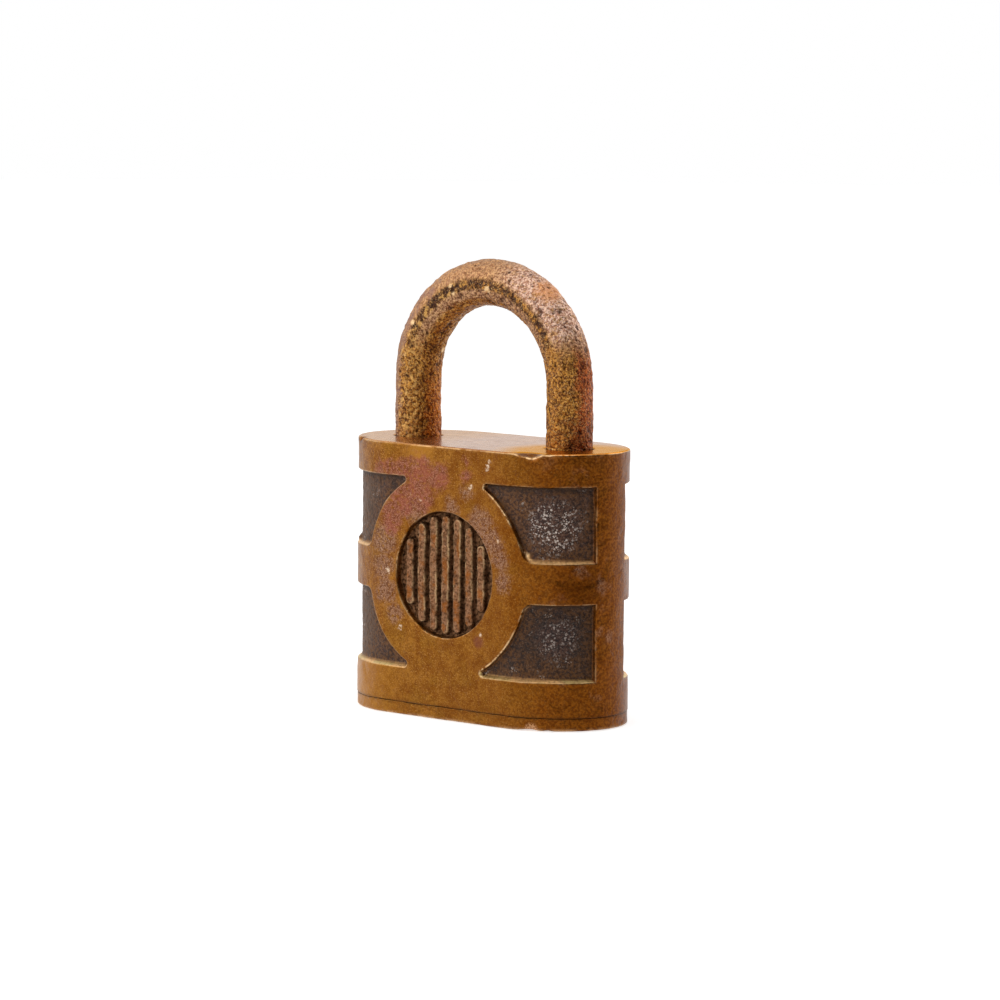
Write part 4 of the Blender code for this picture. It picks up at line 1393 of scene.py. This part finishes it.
def store_case_form(obj):
    points = vertex_places(obj)
    t, inset = on_outline(points)
    z = points[:, 2]
    skin = inset < SKIN_DEPTH
    panel = inside_panel(t, z)
    recess = inside_recess(t, z)
    ribs = outside_ribs(t, z)
    in_recess = recess > 0.1 * MM
    x = fold(t)[1]
    from_ring = np.hypot(x, z - RING_HEIGHT) - RING_RADIUS
    side_gap = np.minimum(end_side - t, from_ring)
    on_ring = np.abs(from_ring) < 0.7 * MM
    heel_side = points[:, 0] > 4 * MM
    keenness = np.where(on_ring & heel_side, 1.0, 0.42)
    keenness = np.where(np.abs(end_side - t) < 0.5 * MM, 0.18, keenness)
    wear = bell(panel, -0.08 * MM, 0.13 * MM) * keenness
    wear = np.maximum(wear, bell(recess, -0.08 * MM, 0.13 * MM) * 0.35)
    wear = np.maximum(wear, in_recess * bell(ribs, -0.12 * MM, 0.16 * MM) * 0.5)
    sill = np.abs(z - BOTTOM_BAND - WALL_MIDDLE)
    shelf = np.abs(z - upper_bottom - WALL_MIDDLE)
    faces_up = np.minimum(sill, shelf) < 1.2 * MM
    # The foot of every wall, darkened by grime and painted shade, less on the walls that face up.
    foot = bell(panel, 0.5 * MM, 0.45 * MM) + in_recess * bell(ribs, 0.45 * MM, 0.4 * MM)
    foot = np.maximum(foot, bell(recess, 0.45 * MM, 0.4 * MM)) * (1.0 - 0.9 * (faces_up & (panel > 0)))
    # The walls that face up, which carry a painted highlight.
    up_wall = faces_up * bell(panel, 0.03 * MM, 0.15 * MM) * (side_gap > 0.25 * MM)
    store(obj, "panel", smooth_step(0.02 * MM, 0.42 * MM, panel) * skin)
    store(obj, "recess", smooth_step(0.02 * MM, 0.4 * MM, recess) * skin)
    store(obj, "rib", smooth_step(0.1 * MM, -0.3 * MM, ribs) * in_recess * skin)
    store(obj, "wear", wear * skin)
    foot = np.maximum(foot, bell(z, FOOT_LEVEL, 0.3 * MM))
    store(obj, "foot", np.clip(foot, 0, 1) * skin)
    store(obj, "ledge", up_wall)
    store(obj, "margin", (panel > 0) * bell(panel, 0.3 * MM, 2.5 * MM) * skin)
    # A painted shadow on the panels, just under the band above each one.
    below_top = np.where(z < upper_top, upper_top - z, 1.0)
    below_middle = np.where(z < lower_top, lower_top - z, 1.0)
    under = np.minimum(below_top, below_middle)
    store(obj, "shade", (panel > 0.2 * MM) * bell(under, 0.0, 1.3 * MM) * skin)
    store(obj, "bore", (inset > SKIN_DEPTH) & (z < TOP - 0.45 * MM))
    store(obj, "top", smooth_step(TOP - 0.3 * MM, TOP - 0.12 * MM, z))


def point_layers(obj):
    return [layer.name for layer in obj.data.attributes if layer.domain == "POINT"]


store_case_form(case)
print("stored on the case:", point_layers(case))

# %% [markdown]
# ## Weathered bronze
# The skin of the case is bronze that has gone brown, with a golden tone where hands rub it. Towards
# the heel end it is darkened by painted shade, with one dark painted patch there. Such a skin could be
# painted on a picture, but washes of colour over noise need no unwrapping: a coarse noise for
# patches, a finer one for grain and a third for specks, each wash weaker than full.

# %% Raised bronze
FACE_Y = -HALF_THICKNESS / MM  # the front face, in mm


def raised_bronze(f):
    """The rubbed bands and rings, darkened towards the heel end by painted shade."""
    x = f.axis("X")
    tone = f.tones(f.patch, 0.30, 0.72, (120, 69, 12), (146, 95, 31))
    tone = f.wash(tone, (132, 88, 24), f.step(f.noise(7.0, 3.0, 21), 0.48, 0.66), 0.5)
    tone = f.wash(tone, (84, 36, 4), f.step(f.grain, 0.56, 0.36), 0.42)
    tone = f.wash(tone, (196, 146, 76), f.step(f.fine, 0.54, 0.70), 0.5)
    tone = f.wash(tone, (84, 44, 10), f.step(f.fine, 0.44, 0.32), 0.4)
    # Painted shade: the bronze turns darker over the heel half and darker still towards the heel end.
    tone = f.wash(tone, (106, 56, 12), f.past(x, -12, 12), 0.22)
    heel_shade_tone = f.tones(f.grain, 0.4, 0.62, (84, 37, 3), (124, 66, 11))
    tone = f.wash(tone, heel_shade_tone, f.past(x, 12, 34), 0.72)
    toe_foot = f.times(f.past(x, -8, -30), f.past(f.axis("Z"), 16, 11))
    rubbed = f.spot((-7.5, FACE_Y, 62.0), 4.2, 2.4, f.wobble(4.0, 1.6, 49))
    tone = f.wash(tone, (176, 120, 44), f.either(toe_foot, rubbed), 0.5)
    # Painted shade: a dark patch on the heel end beside the middle band.
    stain_and_shade = f.spot((33.5, -9.0, 33.0), 5.0, 4.0, f.wobble(4.0, 1.6, 48))
    return f.wash(tone, (70, 28, 0), stain_and_shade, 0.45)


print("front face at y, mm:", round(FACE_Y, 2))

# %% [markdown]
# A faint pink haze lies where the bronze has been cleaned, and a mauve one where rain ran down the
# ring. Each is a row of soft balls that run together, with one ragged rim, and the grain breaks it
# up.

# %% Haze
# Places on the front face as x, z and radius in mm.
PINK_HAZE = (
    (-19.8, 57.0, 2.0),
    (-16.4, 57.2, 2.4),
    (-12.8, 57.2, 2.8),
    (-7.6, 57.0, 3.8),
    (-2.2, 56.6, 3.2),
    (-7.0, 52.0, 4.0),
    (-12.6, 50.2, 4.2),
    (-16.2, 46.0, 3.6),
    (6.9, 60.4, 1.1),
    (6.9, 57.4, 1.4),
)
MAUVE_HAZE = (
    (-9.0, 47.6, 2.6),
    (-18.4, 40.4, 3.8),
    (-18.6, 34.4, 3.4),
    (-18.0, 28.6, 3.2),
    (-15.4, 23.6, 2.2),
    (2.5, 49.6, 2.0),
    (6.9, 53.4, 1.6),
    (10.6, 46.4, 3.6),
    (14.6, 42.4, 3.2),
    (17.0, 38.6, 2.4),
    (17.9, 33.4, 2.2),
)


def haze(f, places, soft, start, rim):
    """1 within any of the places, and no less than the start."""
    cover = start
    for x, z, radius in places:
        cover = f.either(cover, f.spot((x, FACE_Y, z), radius, soft, rim))
    return cover


def hazed(f, tone):
    cloud = f.times(f.step(f.noise(9.0, 4.0, 22), 0.57, 0.68), f.past(f.axis("Y"), -16, -10))
    rim = f.math("ADD", f.wobble(3.4, 1.2, 23), f.wobble(0.9, 0.7, 45))
    broken = f.step(f.noise(0.9, 3.0, 36), 0.26, 0.50)
    crumb = f.times(f.step(f.fine, 0.52, 0.66), 0.65)
    mauve = f.tones(f.grain, 0.40, 0.60, (94, 58, 40), (134, 96, 74))
    mauve = f.wash(mauve, (184, 150, 126), crumb)
    tone = f.wash(tone, mauve, haze(f, MAUVE_HAZE, 1.3, f.times(cloud, 0.7), rim), broken, 0.8)
    pink = f.tones(f.grain, 0.40, 0.62, (104, 54, 38), (138, 84, 66))
    pink = f.wash(pink, (186, 134, 112), crumb)
    pink = f.wash(pink, (140, 72, 58), f.step(f.patch, 0.44, 0.58), 0.5)
    return f.wash(tone, pink, haze(f, PINK_HAZE, 1.2, 0.0, rim), broken, 0.85)


print("places of haze:", len(PINK_HAZE) + len(MAUVE_HAZE))

# %% [markdown]
# The sunk panels kept their dark patina, browner along their margins where rain washes them. Round
# the toe end they are painted paler and greyer, a painted reflection, and under the band above each
# one lies a painted shadow. White scale lies on it in crumbs, thickest in two patches. The crumbs are
# cells of two sizes, kept only where a coarser noise crowds them. The finish also needs the scale
# alone, for its relief.

# %% Panels
# Centre and radius in mm, and how thick the scale lies.
SCALE_PATCHES = (((29.6, -12.9, 46.7), 5.8, 0.9), ((30.5, -12.6, 20.9), 4.6, 0.4))


def panel_patina(f):
    x = f.axis("X")
    tone = f.tones(f.grain, 0.36, 0.64, (40, 21, 11), (98, 65, 44))
    tone = f.wash(tone, (66, 46, 44), f.step(f.noise(5.0, 3.0, 24), 0.45, 0.6), 0.5)
    # Painted reflection: the panels are paler and greyer where they curve round the toe end.
    tone = f.wash(tone, (96, 72, 52), f.past(x, -18, -26), 0.5)
    low_side = f.times(f.past(f.axis("Z"), 30, 26), f.past(x, 0, 12))
    tone = f.wash(tone, f.tones(f.grain, 0.36, 0.64, (18, 8, 4), (54, 33, 19)), low_side, 0.85)
    corner = f.spot((21.5, -16.6, 51.5), 4.4, 1.6, f.wobble(2.4, 0.8, 37))
    margin = f.times(f.attribute("margin"), f.step(f.patch, 0.26, 0.52))
    brown = f.tones(f.grain, 0.38, 0.62, (58, 30, 8), (110, 70, 30))
    tone = f.wash(tone, brown, f.either(margin, f.times(corner, 0.8)), 0.85)
    # Painted shadow under the band above each panel.
    return f.wash(tone, (36, 20, 12), f.attribute("shade"), 0.75)


def scaled(f, tone):
    """The patina with its scale, and the scale alone."""
    loose = f.times(f.step(f.noise(3.4, 3.0, 25), 0.58, 0.70), 0.4)
    rim = f.wobble(2.2, 0.7, 38)
    for centre, radius, strength in SCALE_PATCHES:
        near = f.spot(centre, radius, 2.0, rim)
        tone = f.wash(tone, f.tones(f.grain, 0.36, 0.64, (40, 24, 24), (84, 60, 56)), near, 0.45)
        loose = f.either(loose, f.times(near, strength))
    crowd = f.step(f.noise(1.6, 3.0, 26), 0.38, 0.58)
    crumbs = f.either(f.step(f.cells(0.9, 29), 0.36, 0.24), f.step(f.cells(0.5, 30), 0.36, 0.26))
    scale = f.times(loose, crowd, crumbs)
    dust = f.math("ADD", f.times(loose, 0.35), 0.20)
    tone = f.wash(tone, (168, 142, 126), f.step(f.fine, 0.54, 0.70), dust)
    return f.wash(tone, (222, 206, 194), scale), scale


print("thick patches of scale:", len(SCALE_PATCHES))

# %% [markdown]
# The medallion's middle has a brown floor and paler ribs. Grime and painted shade sit at the foot of
# every wall, the walls that face up carry a pale painted highlight, greenish on the lower panels, and
# the worn edges show bare metal, broken up by noise because nothing wears evenly.

# %% Medallion and edges
def medallion(f):
    floor = f.tones(f.grain, 0.36, 0.62, (64, 41, 23), (126, 90, 62))
    ribs = f.tones(f.grain, 0.34, 0.62, (86, 53, 29), (142, 101, 71))
    ribs = f.wash(ribs, (136, 76, 22), f.step(f.noise(3.5, 3.0, 30), 0.5, 0.60), 0.7)
    ribs = f.wash(ribs, (180, 146, 118), f.step(f.fine, 0.56, 0.72), 0.5)
    ribs = f.wash(ribs, (60, 36, 22), f.step(f.patch, 0.46, 0.32), 0.5)
    return f.mix(f.attribute("rib"), floor, ribs)


def worn_edges(f, colour):
    # Grime and painted shade darken the foot of every wall; the seam above the base is darkened too.
    foot = f.times(f.attribute("foot"), f.step(f.patch, 0.28, 0.56))
    colour = f.wash(colour, (44, 28, 16), foot, 0.45)
    green = f.times(f.step(f.noise(9.0, 2.0, 27), 0.44, 0.54), f.past(f.axis("Z"), 30, 24))
    # Painted highlight: the walls that face up are painted pale, greenish on the lower panels.
    ledge = f.mix(f.times(green, 0.8), paint(240, 192, 130), paint(198, 180, 118))
    ledge = f.wash(ledge, (126, 84, 40), f.step(f.grain, 0.50, 0.36), 0.4)
    colour = f.wash(colour, ledge, f.attribute("ledge"), 0.95)
    broken = f.times(f.step(f.noise(4.5, 3.0, 7), 0.32, 0.60), f.step(f.noise(0.9, 2.0, 8), 0.30, 0.52))
    edges = f.either(f.attribute("wear"), f.times(f.attribute("rim"), 0.9))
    return f.wash(colour, (250, 212, 160), edges, broken)


print("finishes of the relief:", medallion.__name__, "and", worn_edges.__name__)

# %% [markdown]
# The level top is rubbed smoothest, so it mirrors the room. Towards the heel its shine is golden,
# which a metal's tint at grazing angles gives. Last come the small marks: flecks of dried scale,
# one reddish stain, bare chips under the lower edge, painted shade in the chip of the toe end's rim
# and the clean walls of the bores.

# %% Top and small marks
FLECKS = (
    ((-17.1, FACE_Y, 33.5), 0.60),
    ((-15.5, FACE_Y, 26.8), 0.25),
    ((-13.2, FACE_Y, 20.4), 0.55),
    ((8.2, FACE_Y, 54.8), 0.50),
    ((11.3, FACE_Y, 20.9), 0.30),
    ((13.0, FACE_Y, 59.3), 0.40),
    ((13.2, FACE_Y, 60.0), 0.50),
    ((13.5, FACE_Y, 60.8), 0.45),
    ((35.9, -5.7, 47.3), 0.40),
    ((35.7, -6.0, 46.4), 0.30),
    ((-10.0, FACE_Y, 52.0), 0.22),
    ((-7.0, FACE_Y, 50.5), 0.25),
    ((16.5, FACE_Y, 43.0), 0.25),
)


def rubbed_top(f, colour, top):
    heel_top = f.spot((29.0, -5.0, 63.5), 16.5, 4.5, f.wobble(4.0, 1.0, 39))
    tone = f.tones(f.patch, 0.36, 0.64, (170, 112, 58), (190, 136, 84))
    tone = f.wash(tone, (192, 122, 54), heel_top)
    sheen = f.mix(f.past(f.axis("X"), -4, -18), WHITE, (1.0, 0.92, 0.79, 1.0))
    sheen = f.mix(heel_top, sheen, (1.0, 0.72, 0.28, 1.0))
    link(f.tree, f.mix(top, WHITE, sheen), f.shader.inputs["Specular Tint"])
    return f.mix(top, colour, tone)


def small_marks(f, colour):
    flaw = f.wobble(0.7, 0.42, 50)
    crumbled = f.step(f.noise(0.5, 2.0, 28), 0.36, 0.54)
    fleck = f.tones(f.fine, 0.40, 0.62, (186, 152, 118), (236, 216, 192))
    for centre, radius in FLECKS:
        colour = f.wash(colour, fleck, f.spot(centre, radius, 0.32, flaw), crumbled, 0.85)
    colour = f.wash(colour, (104, 50, 52), f.spot((10.7, FACE_Y, 19.2), 1.4, 0.6), 0.45)
    chips = f.times(f.spot((25.0, -14.6, 0.2), 1.7, 0.5), f.step(f.fine, 0.44, 0.54))
    colour = f.wash(colour, (216, 168, 124), chips, 0.8)
    # Painted shade: a dark spot in the chip of the toe end's rim.
    colour = f.wash(colour, (74, 32, 12), f.spot((-28.8, -13.2, 63.4), 1.2, 0.5), 0.8)
    return f.wash(colour, (158, 122, 66), f.attribute("bore"))


print("flecks:", len(FLECKS))

# %% [markdown]
# The parts come together in one finish. Sheltered places are rougher and less metallic, because
# patina and scale are no metal. The bump carries only the finest grain, since everything larger is
# in the mesh.

# %% Case finish
def case_finish():
    f = Finish("weathered bronze", patch=(2.6, 4.0, 2), grain=(0.62, 3.0, 3), fine=(0.26, 2.0, 4))
    panel = f.attribute("panel")
    recess = f.attribute("recess")
    top = f.attribute("top")
    patina, scale = scaled(f, panel_patina(f))
    colour = f.mix(panel, hazed(f, raised_bronze(f)), patina)
    colour = worn_edges(f, f.mix(recess, colour, medallion(f)))
    colour = small_marks(f, rubbed_top(f, colour, top))
    unrubbed = f.math("SUBTRACT", 1.0, f.times(top, 0.85))
    f.bump(f.times(f.fine, unrubbed), 0.03)
    f.bump(f.times(f.grain, unrubbed), 0.06)
    f.bump(scale, 0.08)
    sheltered = f.either(panel, f.times(recess, 0.7))
    rough = f.math("ADD", f.times(sheltered, 0.24), f.times(f.grain, 0.20))
    rough = f.math("SUBTRACT", f.math("ADD", rough, 0.27), f.times(top, 0.12))
    metallic = f.math("SUBTRACT", 0.97, f.times(f.either(panel, scale), 0.42))
    return f.done(colour, rough, metallic)


def dress(obj, material):
    obj.data.materials.clear()
    obj.data.materials.append(material)


weathered_bronze = case_finish()
dress(case, weathered_bronze)
print("nodes in the case's finish:", len(weathered_bronze.node_tree.nodes))

# %% [markdown]
# The base plate is the same bronze, so it takes the same finish. It only stores its worn lower edge
# and the grime in the seam above it.

# %% Base finish
BASE_SKIN = 1.0 * MM


def store_base_form(obj):
    points = vertex_places(obj)
    inset = on_outline(points)[1]
    z = points[:, 2]
    skin = inset < BASE_SKIN
    store(obj, "wear", bell(z, 0.15 * MM, 0.3 * MM) * skin * 0.35)
    store(obj, "foot", bell(base_high.z - z, 0.0, 0.3 * MM) * skin)
    store(obj, "bore", (inset > 1.2 * MM) & (z > 0.3 * MM) & (z < base_high.z - 0.05 * MM))


store_base_form(base)
dress(base, weathered_bronze)
print("the base shares its finish with", weathered_bronze.users - 1, "more")

# %% [markdown]
# ## The shackle's skin
# The shackle went rusty-brown and pitted, with gold crumbs of bare metal between the pits. The pits'
# real depth is stored on the mesh, so the dark colour sits in the pits and the gold on the flakes.
# So is the way each point faces: out of the arch, to the front, or leaning to one side.

# %% Store the form on the shackle
def store_shackle_form(obj):
    points = vertex_places(obj)
    x, y, z = points.T
    over = z > ARCH_CENTRE
    bend = np.hypot(x, z - ARCH_CENTRE)
    out = np.where(over, bend - LEG_X, np.abs(x) - LEG_X)
    radius = np.hypot(out, y)
    share = np.where(over, np.abs(x) / np.maximum(bend, MM), 1.0)
    heelward = out * share * np.sign(x)
    lean = (0.76 * heelward + 0.65 * y) / BAR_RADIUS
    skin = radius > BAR_RADIUS - 0.8 * MM
    store(obj, "pit", np.clip((BAR_RADIUS - radius) / (0.45 * MM), 0, 1) * skin)
    store(obj, "outer", np.clip(out / BAR_RADIUS * 0.5 + 0.5, 0, 1))
    store(obj, "front", np.clip(-y / BAR_RADIUS, 0, 1))
    store(obj, "lean", np.clip(lean * 0.5 + 0.5, 0, 1))
    store(obj, "inside", smooth_step(TOP + 0.8 * MM, TOP - 4 * MM, z))


store_shackle_form(shackle)
print("stored on the shackle:", point_layers(shackle))

# %% [markdown]
# The legs differ: the toe leg has a painted golden highlight on its side towards the left lamp and is
# orange low down, the heel leg is red outside. Every tone comes as a dark and a bright one, mixed by
# the same grain, so the whole bar keeps one texture while its colour changes.

# %% Legs
def skin_tone(f, dark, bright):
    return f.mix(f.light, paint(*dark), paint(*bright))


def leg_tone(f):
    toe_leg = f.past(f.x, 0, -10)
    heel_leg = f.past(f.x, 0, 10)
    tone = skin_tone(f, (100, 55, 14), (190, 132, 54))
    brown = skin_tone(f, (88, 46, 14), (156, 98, 40))
    tone = f.wash(tone, brown, f.step(f.patch, 0.50, 0.62), 0.6)
    # Painted highlight: gold on the toe leg's side that faces the left lamp.
    lit_gold = f.times(toe_leg, f.step(f.lean, 0.58, 0.42), f.step(f.coarse, 0.48, 0.60))
    tone = f.wash(tone, (206, 158, 88), lit_gold, 0.7)
    orange = f.times(toe_leg, f.step(f.lean, 0.60, 0.72), f.past(f.z, 86, 70))
    tone = f.wash(tone, skin_tone(f, (140, 64, 12), (222, 132, 44)), orange, 0.75)
    red = f.times(heel_leg, f.step(f.lean, 0.56, 0.72), f.past(f.z, 90, 84))
    tone = f.wash(tone, skin_tone(f, (102, 34, 8), (184, 88, 38)), red, 0.85)
    low_red = f.times(heel_leg, f.step(f.lean, 0.42, 0.58), f.past(f.z, 73, 66))
    return f.wash(tone, skin_tone(f, (72, 24, 8), (150, 78, 30)), low_red, 0.7)


print("tones of the legs:", leg_tone.__name__)

# %% [markdown]
# Over the arch the bar is tan outside and, towards the heel, rubbed pale with a painted pinkish sheen
# on its upper outside. Under the arch it is dusty, and a dark strip of grime runs along its front.

# %% Arch
def arch_tone(f, tone, tan):
    # The heel's upper shoulder, rubbed pale and given a painted pinkish-white sheen.
    pale = f.times(f.past(f.z, 85, 92), f.times(f.past(f.x, 2, 14), f.step(f.outer, 0.50, 0.70)))
    rusty = f.spot((17.5, -1.0, 99.5), 3.0, 1.6, f.wobble(2.0, 0.8, 43))
    hollow = f.times(f.step(f.outer, 0.42, 0.34), f.step(f.outer, 0.14, 0.22))
    strip = f.times(f.step(f.outer, 0.34, 0.42), f.step(f.outer, 0.64, 0.54))
    strip = f.times(strip, f.step(f.attribute("front"), 0.6, 0.85), f.past(f.z, 84, 90))
    mauve = f.times(f.past(f.x, 0, -10), f.step(f.lean, 0.16, 0.04))
    tone = f.wash(tone, skin_tone(f, (152, 104, 70), (198, 153, 112)), tan, 0.8)
    pink = skin_tone(f, (160, 112, 92), (236, 202, 184))
    # Rubbing and painted sheen: pale pink on the heel's upper shoulder.
    tone = f.wash(tone, pink, pale, f.step(f.coarse, 0.32, 0.50), 0.85)
    tone = f.wash(tone, (202, 132, 76), rusty, 0.7)
    dusty = skin_tone(f, (120, 80, 58), (196, 156, 128))
    tone = f.wash(tone, dusty, f.times(f.past(f.z, 82, 92), hollow), 0.65)
    grime = skin_tone(f, (38, 18, 9), (90, 54, 34))
    tone = f.wash(tone, grime, strip, f.step(f.coarse, 0.62, 0.46), 0.95)
    return f.wash(tone, (128, 92, 84), mauve, 0.7)


print("tones of the arch:", arch_tone.__name__)

# %% [markdown]
# The pits are dark and the flakes between them speckled with bright crumbs, except on the calm tan
# part of the arch. The ends of the legs slid in the case: they are smoother, with fine scratches
# along them.

# %% Shackle finish
SHACKLE_CRUMBS = (
    ((2.4, -5.3, 99.1), 0.8),
    ((-8.8, -5.4, 99.5), 0.5),
    ((-8.0, -5.3, 97.8), 0.45),
    ((-22.2, -5.4, 64.6), 0.3),
    ((-20.6, -5.2, 90.5), 0.7),
    ((-16.6, 1.1, 83.8), 0.6),
)


def pitted_tone(f, tone, tan):
    pit = f.attribute("pit")
    calm = f.times(tan, f.past(f.x, 6, -4), 0.7)
    wild = f.math("SUBTRACT", 1.0, calm)
    tone = f.wash(tone, (58, 32, 18), f.step(pit, 0.5, 0.95), wild, 0.8)
    speckle = f.times(f.step(f.fine, 0.55, 0.7), f.step(pit, 0.75, 0.3))
    tone = f.wash(tone, (236, 192, 124), speckle, wild, 0.7)
    tone = f.wash(tone, (62, 32, 14), f.step(f.fine, 0.43, 0.31), wild, 0.65)
    for centre, radius in SHACKLE_CRUMBS:
        ragged = f.spot(centre, radius, 0.2, f.wobble(0.8, 0.25, 44))
        tone = f.wash(tone, (232, 196, 146), ragged, 0.9)
    return tone


def slid_tone(f):
    scratches = f.noise(0.3, 2.0, 47, stretch=(2.0, 2.0, 0.16))
    tone = f.tones(scratches, 0.30, 0.70, (116, 76, 36), (152, 106, 56))
    tone = f.wash(tone, (102, 62, 30), f.step(f.coarse, 0.46, 0.62), 0.6)
    return f.wash(tone, (176, 132, 78), f.step(f.fine, 0.58, 0.72), 0.5)


def shackle_finish():
    f = Finish(
        "pitted bronze",
        grain=(0.5, 4.0, 31), fine=(0.24, 2.0, 32), patch=(2.4, 4.0, 33), coarse=(1.1, 3.0, 40),
    )
    f.x = f.axis("X")
    f.z = f.math("ADD", f.axis("Z"), f.wobble(3.0, 1.6, 46))
    f.outer = f.attribute("outer")
    f.lean = f.math("ADD", f.attribute("lean"), f.times(f.math("SUBTRACT", f.patch, 0.5), 0.35))
    f.light = f.step(f.grain, 0.40, 0.60)
    tan = f.times(f.past(f.z, 82, 92), f.step(f.outer, 0.52, 0.66))
    tone = pitted_tone(f, arch_tone(f, leg_tone(f), tan), tan)
    inside = f.math("ADD", f.attribute("inside"), f.times(f.grain, 0.5))
    tone = f.mix(f.step(inside, 0.35, 0.85), tone, slid_tone(f))
    f.bump(f.fine, 0.06)
    f.bump(f.grain, 0.12)
    rough = f.math("ADD", f.times(f.grain, 0.35), 0.30)
    return f.done(tone, rough, 0.8)


pitted_bronze = shackle_finish()
dress(shackle, pitted_bronze)
print("nodes in the shackle's finish:", len(pitted_bronze.node_tree.nodes))

# %% [markdown]
# ## Brass and steel inside
# The pieces inside keep their own meshes. Each metal gets fine marks that run as its tool did: rings
# on turned pins, short strokes on milled blocks. One recipe serves them all, with its noise
# stretched another way for each.

# %% Machined finishes
# For each slot: name, light, dark and stained tone, stretch of the marks, and roughness.
METALS = {
    "cylinder_brass": (
        "milled brass", (206, 172, 104), (178, 140, 76), (132, 94, 48), (1.0, 1.0, 0.25), 0.24,
    ),
    "pin_brass": (
        "turned brass", (226, 194, 128), (196, 158, 94), (160, 120, 64), (6.0, 0.2, 0.2), 0.18,
    ),
    "rivet_bronze": (
        "ground rivet", (176, 126, 72), (140, 92, 46), (92, 58, 32), (1.0, 1.0, 1.0), 0.32,
    ),
    "screw_steel": (
        "screw steel", (190, 190, 186), (160, 160, 158), (118, 112, 104), (1.0, 1.0, 0.2), 0.26,
    ),
}


def machined(name, light, dark, stain_and_shade, stretch, roughness):
    f = Finish(name)
    marks = f.noise(0.5, 3.0, 41, stretch=stretch)
    cloud = f.noise(3.0, 3.0, 42)
    colour = f.tones(marks, 0.3, 0.7, dark, light)
    colour = f.wash(colour, stain_and_shade, f.step(cloud, 0.5, 0.66), 0.55)
    f.bump(marks, 0.012)
    rough = f.math("ADD", f.times(cloud, 0.25), roughness)
    return f.done(colour, rough, 1.0)


finishes = {slot: machined(*looks) for slot, looks in METALS.items()}
print("machined finishes:", [finish.name for finish in finishes.values()])

# %% [markdown]
# No machined edge is knife-sharp: a file breaks it. A small bevel modifier does that here, on
# every edge that turns by more than the angle limit.

# %% Dress the packed pieces
BEVEL = 0.1 * MM
SHARP = math.radians(40)


def break_edges(obj):
    bevel = obj.modifiers.new("broken edges", "BEVEL")
    bevel.width = BEVEL
    bevel.segments = 2
    bevel.limit_method = "ANGLE"
    bevel.angle_limit = SHARP


dressed = 0
for entry in frame["record"]["subparts"]:
    if entry["material_slot"] in finishes:
        node = frame["nodes"][entry["node"]]
        dress(node, finishes[entry["material_slot"]])
        break_edges(node)
        dressed += 1
print("packed pieces dressed:", dressed)

# %% [markdown]
# ## Pin springs
# Each driver pin is pushed by a small coil spring. The packed coils are coarse, so finer ones are
# wound here: rings of points follow a helix.

# %% Wind the springs
SPRING_TURNS = 5
RINGS_PER_TURN = 28
WIRE_RADIUS = 0.22 * MM
WIRE_SIDES = 12
DRIVERS = 5


def fix_normals(obj):
    mesh = bmesh.new()
    mesh.from_mesh(obj.data)
    bmesh.ops.recalc_face_normals(mesh, faces=mesh.faces)
    mesh.to_mesh(obj.data)
    mesh.free()


def wind_spring(name):
    """A fine coil in the packed one's box, with that box's length and its fixed end."""
    low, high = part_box(name)
    coil = (high.y - low.y) / 2 - WIRE_RADIUS
    length = high.x - low.x - 2 * WIRE_RADIUS
    rows = SPRING_TURNS * RINGS_PER_TURN + 1
    turn = np.linspace(0, 2 * math.pi * SPRING_TURNS, rows)
    ring = np.column_stack([np.zeros(rows), np.cos(turn), np.sin(turn)])
    middle = np.array([0.0, (low.y + high.y) / 2, (low.z + high.z) / 2]) + ring * coil
    middle[:, 0] = high.x - WIRE_RADIUS - length * np.linspace(0, 1, rows)
    section = np.linspace(0, 2 * math.pi, WIRE_SIDES, endpoint=False)
    outward = np.cos(section)[None, :, None] * ring[:, None, :]
    along = np.sin(section)[None, :, None] * np.array([1.0, 0.0, 0.0])
    points = (middle[:, None, :] + (outward + along) * WIRE_RADIUS).reshape(-1, 3)
    spring = mesh_object(name.replace("pin_", "wound_"), points, tube_faces(rows, WIRE_SIDES))
    fix_normals(spring)
    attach(spring, "case")
    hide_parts(name)
    return spring, high.x - low.x, Vector((low.x, 0.0, middle[0, 2]))


spring_steel = machined(
    "spring wire", (196, 196, 194), (166, 166, 166), (120, 112, 100), (0.5, 1.0, 1.0), 0.24
)
for index in range(1, DRIVERS + 1):
    spring, length, anchor = wind_spring(f"pin_spring_{index}")
    dress(spring, spring_steel)
    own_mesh(spring)

# %% [markdown]
